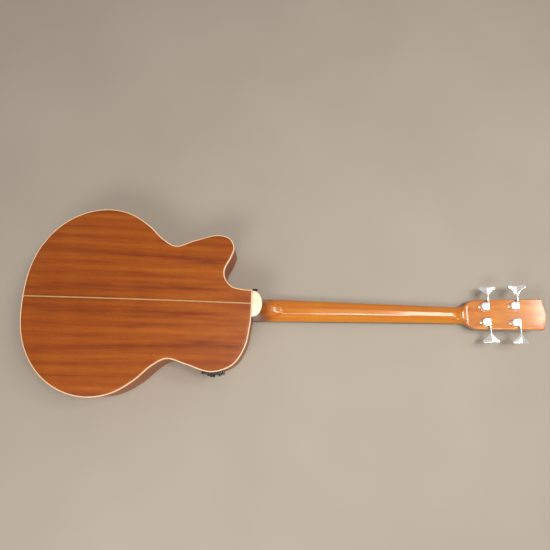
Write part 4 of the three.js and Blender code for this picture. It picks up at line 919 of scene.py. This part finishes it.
# Soundboard
# A flat plate of pale quarter-sawn spruce, its straight year lines mirrored at the middle joint,
# with a round soundhole. It is glued onto the sides' linings and sanded flush with the binding.
HOLE_X = -165.03
HOLE_RADIUS = 51.0
f = Finish("spruce_top", "spruce", Coat_Weight=0.45, Coat_Roughness=0.12, Specular_IOR_Level=0.4)
sway = f.noise(f.place((2.5, 6, 6), mirrored=True), 1.0)
shift = f.add("CombineXYZ", {1: f.between(sway, 0, 1, -0.004, 0.004)})[0]
bent = f.add("VectorMath", {0: f.place(1, mirrored=True), 1: shift}, operation="ADD")[0]
year, broad = [
    f.noise(f.add("VectorMath", {0: bent, 1: (0.8, lines, lines)}, operation="MULTIPLY")[0], 2.0)
    for lines in (420, 40)
]
silk = f.noise(f.place((260, 24, 24), mirrored=True), 2.0)
pale = f.ramp(year, (0.34, 206, 160, 98), (0.46, 230, 192, 132), (0.62, 240, 208, 154))
pale = f.mix(f.between(broad, 0.3, 0.7, 0, 0.35), pale, srgb(222, 178, 116))
pale = f.mix(f.between(silk, 0.55, 0.75, 0, 0.3), pale, srgb(248, 222, 172))
f.bump(year, 0.00003, 0.25)
spruce = f.paint(pale, f.between(year, 0.3, 0.7, 0.26, 0.38))

top_line = inset(rim, PLATE_INSET)
hole_turn = np.arctan2(top_line[:, 1], top_line[:, 0] - HOLE_X)
hole_line = on_circle(HOLE_RADIUS, hole_turn) + [HOLE_X, 0]


def ring_rows(steps):
    """Rows between the hole and the outline: each is a share of the way and a height."""
    rows = [(hole_line + share * (top_line - hole_line), height) for share, height in steps]
    return np.stack([np.column_stack([row, np.full(len(row), z)]) for row, z in rows])


TOP_THICKNESS = 3.0
face_steps = [(0, 0.5), (0.001, 0.2), (0.003, 0.05), (0.006, 0)]
face_steps += [(share, 0) for share in np.linspace(0.02, 1, 16)]
inner_steps = [(share, TOP_THICKNESS) for share in np.linspace(1, 0.004, 8)]
inner_steps.append((0, TOP_THICKNESS - 0.4))
make("top_plate", [ring_rows(face_steps + inner_steps)], spruce, ["soundboard"], ends="joined")
dress(spruce, "x_brace", "upper_brace", "back_brace_1", "back_brace_2", "back_brace_3")

# Rosette
# Rings of black and white veneer on both sides of a band of slanting dark and pale pieces, laid
# together in a channel round the soundhole and sanded level.
ROSETTE_INNER = 56.0
ROSETTE_OUTER = 67.0
ROSETTE_PIECES = 120
f = Finish("rosette_marquetry", "cream_binding", Coat_Weight=0.45, Coat_Roughness=0.12)
centre = laid([HOLE_X, 0, 0])
away = f.add("VectorMath", {0: f.place(1), 1: tuple(centre)}, operation="SUBTRACT")[0]
east, north = f.add("SeparateXYZ", {0: away})[:2]
radius = f.math("SQRT", f.math("MULTIPLY_ADD", east, east, f.math("MULTIPLY", north, north)))
share = f.between(radius, ROSETTE_INNER / 1000, ROSETTE_OUTER / 1000)
slant = f.math("ABSOLUTE", f.math("SUBTRACT", share, 0.5))
pieces = f.math("MULTIPLY_ADD", f.math("ARCTAN2", north, east), ROSETTE_PIECES / (2 * math.pi),
                ROSETTE_PIECES)
piece_share = f.math("FRACT", f.math("MULTIPLY_ADD", slant, 3, pieces))
grain = f.noise(f.place((300, 900, 300)), 3.0)
dark = f.ramp(grain, (0.3, 40, 22, 14), (0.7, 72, 42, 26))
light = f.ramp(grain, (0.3, 208, 166, 110), (0.7, 236, 202, 150))
band = f.mix(f.between(piece_share, 0.47, 0.53), dark, light)
ink, bone = (20, 16, 15), (236, 226, 200)
rings = f.ramp(share, (0, *ink), (0.07, *ink), (0.08, *bone), (0.14, *bone), (0.15, *ink),
               (0.85, *ink), (0.86, *bone), (0.92, *bone), (0.93, *ink))
inside = f.math("LESS_THAN", slant, 0.3)
rosette = f.paint(f.mix(inside, rings, band), f.between(grain, 0.3, 0.7, 0.28, 0.4))
inlay = spun([
    (ROSETTE_INNER, 0.9), (ROSETTE_INNER, 0.01), (ROSETTE_INNER + 0.15, -0.05), (61.5, -0.06),
    (ROSETTE_OUTER - 0.15, -0.05), (ROSETTE_OUTER, 0.01), (ROSETTE_OUTER, 0.9),
], 180) + [HOLE_X, 0, 0]
make("soundhole_rosette", [inlay], rosette, ["rosette"], ends="joined")

# Blocks and linings
# The neck and tail blocks, the bridge plate and the kerfed linings inside are plain light wood,
# sawn and sanded but not lacquered. The truss rod is steel and the pickup strip bronze.
lining_tones = [(150, 104, 62), (178, 128, 80), (198, 148, 96), (212, 166, 114)]
inner_wood = wood("inner_wood", None, lining_tones, srgb(120, 80, 46), 220, pores=0.4, gloss=0.55)
dress(inner_wood, "neck_block", "tail_block", "bridge_plate", "back_lining", "top_lining")
dress(steel, "truss_rod")
dress(brass, "saddle_pickup")

# Bridge
# Dark rosewood shaped with a belly behind the pins and thinned to two wings, all its upper edges
# rounded by sanding, glued to the soundboard.
SADDLE_X = -342.88
PIN_X = -360.88
PIN_SPACING = 19.4
BRIDGE_TOP = -10.8
BRIDGE_HALF = 84.0
WING_TOP = -5.3
WING_LENGTH = 36.0
BRIDGE_FRONT = SADDLE_X + 14.0
BRIDGE_BACK = BRIDGE_FRONT - 42.0
BELLY_STEP = 12.0
BELLY_SWELL = 7.0
SEAT = 0.1


def side_to_side(ends, count):
    """Places across a piece: even steps up to the first end, then on through the others."""
    return np.concatenate([-ends[:0:-1], np.linspace(-ends[0], ends[0], count), ends[1:]])


wing_ends = BRIDGE_HALF - np.array([2, 1.1, 0.4, 0])
bridge_y = side_to_side(wing_ends, 83)
inwards = BRIDGE_HALF - np.abs(bridge_y)
# The top rises from wing to crown by three squares less two cubes of the share of the way, and
# is rounded down at the wing's ends
wing = np.clip(inwards / WING_LENGTH, 0, 1)
bridge_top = WING_TOP + (BRIDGE_TOP - WING_TOP) * wing**2 * (3 - 2 * wing)
bridge_top += np.interp(np.abs(bridge_y), wing_ends, [0, 0.15, 0.6, 1.3])
# The back edge swells to the belly along a parabola: BELLY_STEP times six shares of the way less
# their square leads in from the end, and BELLY_SWELL times that square leads out
belly = np.clip(3 - np.sqrt(np.maximum(9 - inwards / BELLY_STEP, 0)), 0, 1)
bridge_back = BRIDGE_BACK + BELLY_SWELL * (1 - belly**2)
bridge_front = np.full(len(bridge_y), BRIDGE_FRONT)
rounding = [(0, 1.7), (0.13, 1.04), (0.5, 0.5), (1.04, 0.13), (1.7, 0)]
seat = np.full(len(bridge_y), SEAT)
rows = [(bridge_front, seat)]
rows += [(bridge_front - step, bridge_top + down) for step, down in rounding]
rows.append(((bridge_front + bridge_back) / 2, bridge_top))
rows += [(bridge_back + step, bridge_top + down) for step, down in rounding[::-1]]
rows.append((bridge_back, seat))
bridge = np.stack([np.column_stack([x, bridge_y, np.minimum(z, SEAT)]) for x, z in rows], 1)
make("bridge_wood", [bridge], rosewood, ["bridge"], crease=30)

# Saddle
# A strip of bone-white plastic standing in a slot across the bridge, its top rounded over and
# crowned to follow the fretboard.
FRET_RADIUS = 400.0
SADDLE_TOP = -15.05
SADDLE_FOOT = -6.8
SADDLE_HALF = 39.0
SADDLE_DEEP = 1.6
SADDLE_ROUND = 1.2


def crown_drop(y):
    """How far the crown of the fretboard's radius falls at a distance from its middle."""
    return FRET_RADIUS - np.sqrt(FRET_RADIUS**2 - np.asarray(y, float) ** 2)


saddle_ends = SADDLE_HALF - np.array([1, 0.3, 0])
saddle_y = side_to_side(saddle_ends, 41)
saddle_top = SADDLE_TOP + crown_drop(saddle_y)
saddle_top += np.interp(np.abs(saddle_y), saddle_ends, [0, 0.3, 0.9])
round_over = np.linspace(0, math.pi, 9)
saddle = np.zeros((len(saddle_y), 11, 3))
saddle[:, 1:-1, 0] = SADDLE_X - SADDLE_DEEP * np.cos(round_over)
saddle[:, 0, 0], saddle[:, -1, 0] = SADDLE_X - SADDLE_DEEP, SADDLE_X + SADDLE_DEEP
saddle[..., 1] = saddle_y[:, None]
saddle[:, 1:-1, 2] = saddle_top[:, None] + SADDLE_ROUND * (1 - np.sin(round_over))
saddle[:, [0, -1], 2] = SADDLE_FOOT
make("saddle_bone", [saddle], ivory, ["saddle"])

# Bridge pins
# Four white tapered pins turned with a collar and a domed head, each with a dark dot let into
# its end, pushed into the bridge to hold the ball of a string.
pin = spun([
    (0, -17.5), (1.6, -17.4), (3.0, -16.8), (3.9, -15.8), (4.3, -14.5), (4.15, -13.2), (3.6, -12.2),
    (3.3, -11.8), (3.9, -11.5), (4.0, -11.0), (2.7, -10.7), (2.16, 8.4), (0, 8.4),
])
dot = spun([(0, -17.6), (1.0, -17.55), (1.4, -17.42), (1.4, -16.8), (0, -16.8)], 24)
SLOT_STEPS = [1.5, 0.5, -0.5, -1.5]
for i, slot_step in enumerate(SLOT_STEPS):
    place = np.array([PIN_X, slot_step * PIN_SPACING, 0])
    make(f"pin_{i + 1}", [pin + place], ivory, [f"bridge_pin_{i + 1}"])
    make(f"pin_dot_{i + 1}", [dot + place], gloss_black)

# Fretboard
# Dark rosewood glued to the neck and over the soundboard, crowned across to one radius, with
# pearl dots let into its face and small pale dots into its bass edge.
BOARD_END = -110.03
BOARD_FACE = -6.5
FRETS = 22
PAIR_ACROSS = 9.5
PAIR_ALONG = 3.0
EDGE_DOT_UP = 3.1
board_x = [[BOARD_END, BOARD_END + 0.4], np.linspace(-100, NUT_X - 10, 30), [NUT_X - 0.3]]
board_x = np.concatenate(board_x)
cross = np.concatenate([[-1], np.linspace(-0.98, 0.98, 25), [1]])
board_half = neck_half(board_x)
board_y = board_half[:, None] * cross
board_z = BOARD_FACE + crown_drop(board_y)
board_z[:, [0, -1]] += 0.5
board_z[0] += 0.4
board = np.zeros((len(board_x), len(cross) + 2, 3))
board[..., 0] = board_x[:, None]
board[:, 1:-1, 1], board[:, 1:-1, 2] = board_y, board_z
board[:, 0, 1], board[:, -1, 1] = -board_half, board_half
board[:, [0, -1], 2] = (0.05 - np.minimum(board_x, 0) * math.tan(NECK_ANGLE))[:, None]
make("fretboard_wood", [on_neck(board)], rosewood, ["fretboard"], crease=30)
fret_x = NUT_X - SCALE_LENGTH * (1 - 2 ** (-np.arange(FRETS + 1) / 12))
f = Finish("mother_of_pearl", "pale_inlay", Coat_Weight=0.5, Coat_Roughness=0.08)
nacre = f.noise(f.place((120, 300, 120)), 3.0, distortion=1.5)
nacre_tones = f.ramp(nacre, (0.3, 196, 204, 206), (0.5, 232, 230, 222), (0.7, 214, 222, 210))
pearl = f.paint(nacre_tones, f.between(nacre, 0.3, 0.7, 0.16, 0.3))
face_dots, edge_dots = [], []
for fret in (3, 5, 7, 9, 15, 17, 19, 21, 12):
    # One dot halfway between two frets, and a pair at the octave
    halfway = (fret_x[fret - 1] + fret_x[fret]) / 2
    for side in (-1, 1) if fret == 12 else (0,):
        lens = spun([(0, 0), (2.2, 0), (2.9, 0.01), (3, 0.05), (3, 1), (0, 1)], 32)
        lens = lens + [halfway, PAIR_ACROSS * side, 0]
        lens[..., 2] += BOARD_FACE - 0.04 + crown_drop(lens[..., 1])
        face_dots.append(on_neck(lens))
        x = halfway + PAIR_ALONG * side
        stud = spun([(0, 0.06), (0.9, 0.05), (1, 0), (1, -1), (0, -1)], 16)
        edge_place = np.array([x, -neck_half(x), -EDGE_DOT_UP])
        edge_dots.append(on_neck(along_y(stud * [1, 1, -1], edge_place)))
make("face_dots", face_dots, pearl)
make("edge_dots", edge_dots, pearl)

# Frets
# Twenty-two nickel-silver wires with a half-round crown, hammered into slots and filed to a slope
# at both ends.
FRET_WIDTH = 2.4
FRET_HEIGHT = 1.1
# Each wire's section is half an oval on two short legs, lower at the filed ends
wire_turn = np.linspace(0, math.pi, 9)
wires = []
for x in fret_x[1:]:
    half = neck_half(x) - 0.6
    y = half * np.concatenate([[-1], np.linspace(-0.975, 0.975, 21), [1]])
    tall = np.where(np.abs(y) > 0.98 * half, 0.25, FRET_HEIGHT)
    wire = np.zeros((len(y), 11, 3))
    wire[:, 1:-1, 0] = x - FRET_WIDTH / 2 * np.cos(wire_turn)
    wire[:, 0, 0], wire[:, -1, 0] = x - FRET_WIDTH / 2, x + FRET_WIDTH / 2
    wire[..., 1] = y[:, None]
    wire[:, 1:-1, 2] = -tall[:, None] * np.sin(wire_turn)
    wire[:, [0, -1], 2] = 0.6
    wire[..., 2] += BOARD_FACE + crown_drop(y)[:, None]
    wires.append(on_neck(wire))
make("fret_wires", wires, steel, crease=60)

# Nut
# A block of bone-white plastic at the end of the fretboard, rounded towards the head, with a
# round-bottomed groove filed for each string.
STRING_SIZES = [1.1, 1.6, 2.1, 2.6]
NUT_SPACING = 10.8
NUT_TOP = -9.1
NUT_SLOT = -8.1
# Each groove's floor is a half circle as wide as the string
nut_y = np.linspace(-NUT_HALF, NUT_HALF, 345)
nut_top = NUT_TOP + crown_drop(nut_y)
for slot_step, size in zip(SLOT_STEPS, STRING_SIZES):
    off = np.clip(np.abs(nut_y - slot_step * NUT_SPACING) / (size / 2 + 0.08), 0, 1)
    groove = NUT_SLOT + crown_drop(slot_step * NUT_SPACING) - size / 2 * (1 - np.sqrt(1 - off**2))
    nut_top = np.where(off < 1, np.maximum(nut_top, groove), nut_top)
nut_top[[0, -1]] += 0.5
# The section's corners: how far from the nut's line, and how far below its top
nut_section = [(0, 0.4), (0.3, 0), (3.4, 0), (4.6, 0.35), (5.2, 1.0), (5.5, 1.9)]
nut_seat = np.full(len(nut_y), SEAT)
nut_rows = [(0, nut_seat), *((x, nut_top + down) for x, down in nut_section), (5.5, nut_seat)]
nut = np.stack([
    np.column_stack([np.full(len(nut_y), NUT_X + x), nut_y, z]) for x, z in nut_rows
], 1)
make("nut_bone", [on_neck(nut)], ivory, ["nut"], crease=40)

# Strings
# Bronze-wound steel strings, thicker towards the bass side: each comes up before its bridge pin,
# bends over the saddle and the nut, and is wound round its post, whose slot holds the end.
f = Finish("wound_bronze", "bronze", Metallic=1.0)
along = f.add("SeparateXYZ", {0: f.place(1, flow=True)})[0]
coils = f.math("SINE", f.math("MULTIPLY", along, 2 * math.pi / 0.0006))
tarnish = f.noise(f.place((40, 900, 40), flow=True), 2.0)
f.bump(coils, 0.00004, 0.5)
wound = f.rubbed(tarnish, (168, 116, 62), (206, 152, 92), (0.26, 0.4))


def rounded_corners(points, reach, steps=7):
    """A line through points whose corners are parabolas, from a reach before each corner to a
    reach after it, or to the middle of a shorter stretch."""
    p = np.asarray(points, float)
    gap = np.diff(p, axis=0)
    length = np.linalg.norm(gap, axis=1)[:, None]
    cut = np.minimum(reach, length * 0.49) * gap / length
    before, corner, after = p[1:-1] - cut[:-1], p[1:-1], p[1:-1] + cut[1:]
    t = np.linspace(0, 1, steps)[None, :, None]
    before, corner, after = before[:, None], corner[:, None], after[:, None]
    curve = (1 - t) ** 2 * before + 2 * t * (1 - t) * corner + t**2 * after
    return np.vstack([p[:1], curve.reshape(-1, 3), p[-1:]])


def tube(line, radius, sides=14):
    """Circles of one radius square to a line, and how far along and round it each point lies."""
    ahead = np.gradient(line, axis=0)
    ahead /= np.linalg.norm(ahead, axis=1)[:, None]
    across = np.cross(ahead, [0, 0, 1.0])
    across /= np.linalg.norm(across, axis=1)[:, None]
    over = np.cross(across, ahead)
    angle = np.linspace(0, 2 * math.pi, sides, endpoint=False)[None, :, None]
    circle = np.cos(angle) * across[:, None] + np.sin(angle) * over[:, None]
    points = line[:, None] + radius * circle
    places = np.zeros_like(points)
    places[..., 0] = run_along(line)[:, None]
    places[..., 1] = radius * angle[..., 0]
    return points, places


WINDING_TURNS = 2.71
LEVEL_TURNS = 2.25
COIL_RADIUS = 5.3
COIL_START = -6.3
COIL_GAP = 0.3
for i, (slot_step, size) in enumerate(zip(SLOT_STEPS, STRING_SIZES)):
    r = size / 2
    y, nut_place = slot_step * PIN_SPACING, slot_step * NUT_SPACING
    saddle_z = SADDLE_TOP - 0.05 + float(crown_drop(y)) - r
    nut_z = NUT_SLOT + float(crown_drop(nut_place)) - r
    # Up in front of the pin, forward to the saddle and over it, and through the nut
    first = [
        [PIN_X + 4.4 + r, y, -8.0], [PIN_X + 4.6 + r, y, BRIDGE_TOP],
        [PIN_X + 4.8 + 2 * r, y, BRIDGE_TOP - r],
        [SADDLE_X - 1.0, y, saddle_z], [SADDLE_X + 1.0, y, saddle_z],
        *on_neck([[NUT_X + 0.2, nut_place, nut_z], [NUT_X + 3.4, nut_place, nut_z]]),
    ]
    tuner_x, tuner_y, side = TUNER_PLACES[i]
    # A coil round the post, a pitch apart, then up to the slot in the last half turn
    turns = np.linspace(0, WINDING_TURNS, 110)
    coil = COIL_RADIUS + r
    slot_z = SLOT_FLOOR + HEAD_THICKNESS - r - 0.1
    wind_z = COIL_START - r - (size + COIL_GAP) * np.minimum(turns, LEVEL_TURNS)
    rise = np.clip((turns - LEVEL_TURNS) / (WINDING_TURNS - LEVEL_TURNS), 0, 1)
    wind_z += (slot_z - wind_z[-1]) * rise**2 * (3 - 2 * rise)
    wound_line = on_head(np.column_stack([
        tuner_x + coil * np.sin(2 * math.pi * turns),
        side * (tuner_y - coil * np.cos(2 * math.pi * turns)), wind_z,
    ]))
    path = np.vstack([rounded_corners(first + [wound_line[0]], 3.0), wound_line[1:]])
    points, places = tube(path, r)
    make(f"wound_string_{i + 1}", [points], wound, [f"string_{i + 1}"], crease=60, flow=places)
    end = on_head([
        [tuner_x - coil, side * (tuner_y + 1.4), slot_z], [tuner_x - coil, side * tuner_y, slot_z],
        [tuner_x + 3.2, side * tuner_y, slot_z],
    ])
    points, places = tube(rounded_corners(end, 1.2), r)
    make(f"string_tail_{i + 1}", [points], wound, body=f"post_{i + 1}", crease=60, flow=places)

# Studio
# A plain warm-grey floor, small lamps overhead that the lacquer and the chrome mirror, a softer
# lamp beside the body, and the camera where the photograph was taken: above the guitar's middle,
# looking slightly towards the cutaway side.
FLOOR_HALF = 9
floor_mesh = bpy.data.meshes.new("floor")
corners = [(FLOOR_HALF * x, FLOOR_HALF * y, 0) for x, y in ((-1, -1), (1, -1), (1, 1), (-1, 1))]
floor_mesh.from_pydata(corners, [], [(0, 1, 2, 3)])
f = Finish("studio_floor", Roughness=0.6, Specular_IOR_Level=0.2)
shade = f.noise(f.place(3), 2.0)
f.paint(f.ramp(shade, (0.3, 173, 164, 153), (0.7, 179, 170, 159)))
floor_mesh.materials.append(f.material)
floor = bpy.data.objects.new("floor", floor_mesh)
bpy.context.scene.collection.objects.link(floor)

# The sky is at full strength where it is seen or mirrored, and weaker where it only gives light
SKY_LIGHT = 0.52
world = bpy.data.worlds.new("studio")
bpy.context.scene.world = world
world.use_nodes = True
sky = world.node_tree
seen = sky.nodes.new("ShaderNodeLightPath")
either = sky.nodes.new("ShaderNodeMath")
either.operation = "MAXIMUM"
sky.links.new(seen.outputs["Is Camera Ray"], either.inputs[0])
sky.links.new(seen.outputs["Is Glossy Ray"], either.inputs[1])
bright = sky.nodes.new("ShaderNodeMath")
bright.operation = "MULTIPLY_ADD"
bright.inputs[1].default_value = 1 - SKY_LIGHT
bright.inputs[2].default_value = SKY_LIGHT
sky.links.new(either.outputs[0], bright.inputs[0])
sky.links.new(bright.outputs[0], sky.nodes["Background"].inputs[1])
sky.nodes["Background"].inputs[0].default_value = srgb(222, 217, 210)

# Each lamp's place and aim in metres, its size along and across the guitar, watts, green and blue
for name, place, aim, size, watts, colour in (
    ("neck_lamp", (0.44, -0.3, 2.3), (0.2, 0, 0), (0.24, 0.16), 4.2, (0.96, 0.9)),
    ("middle_lamp", (0.78, -0.12, 2.3), (0.2, 0, 0), (0.48, 0.28), 16, (0.96, 0.9)),
    ("nut_lamp", (1.14, 0.06, 2.3), (0.2, 0, 0), (0.34, 0.12), 2.5, (0.96, 0.9)),
    ("line_lamp", (0.12, -0.46, 2.3), (0.1, 0, 0), (0.6, 0.12), 2.2, (0.92, 0.8)),
    ("head_lamp", (1.33, 0.39, 2.3), (0.4, 0, 0), (0.6, 0.25), 8.5, (0.96, 0.9)),
    ("edge_lamp", (0.95, 0.39, 2.3), (0.4, 0, 0), (0.16, 0.25), 0.42, (0.96, 0.9)),
    ("soft_lamp", (0.6, 0.36, 2.3), (0.4, 0, 0), (0.54, 0.6), 0.85, (0.96, 0.9)),
    ("right_lamp", (2.6, 0.3, 2.2), (0.5, 0, 0), (1.0, 1.0), 6, (0.96, 0.9)),
    ("near_lamp", (-0.5, -1.1, 1.4), (-0.25, -0.12, 0), (0.9, 0.6), 11, (0.96, 0.91)),
):
    light = bpy.data.lights.new(name, "AREA")
    light.shape = "RECTANGLE"
    light.size, light.size_y = size
    light.energy = watts
    light.color = (1, *colour)
    lamp = bpy.data.objects.new(name, light)
    away = np.subtract(place, aim)
    away /= np.linalg.norm(away)
    side = np.cross([0, 1, 0.01], away)
    side /= np.linalg.norm(side)
    stand = np.column_stack([side, np.cross(away, side), away, place])
    lamp.matrix_world = Matrix([*stand.tolist(), [0, 0, 0, 1]])
    bpy.context.scene.collection.objects.link(lamp)

# The focal length was measured in dots of a picture this many dots wide
FOCAL_DOTS = 431.58
PICTURE_DOTS = 550
camera = bpy.data.cameras.new("camera")
camera.sensor_width = 36
camera.lens = camera.sensor_width * FOCAL_DOTS / PICTURE_DOTS
camera.clip_start = 0.05
eye = bpy.data.objects.new("camera", camera)
eye.location = (-0.03216, -0.1867, 1.11776)
eye.rotation_euler = np.radians([14.3095, -0.1691, 1.5122])
bpy.context.scene.collection.objects.link(eye)
bpy.context.scene.camera = eye
bpy.context.scene.view_settings.view_transform = "Standard"
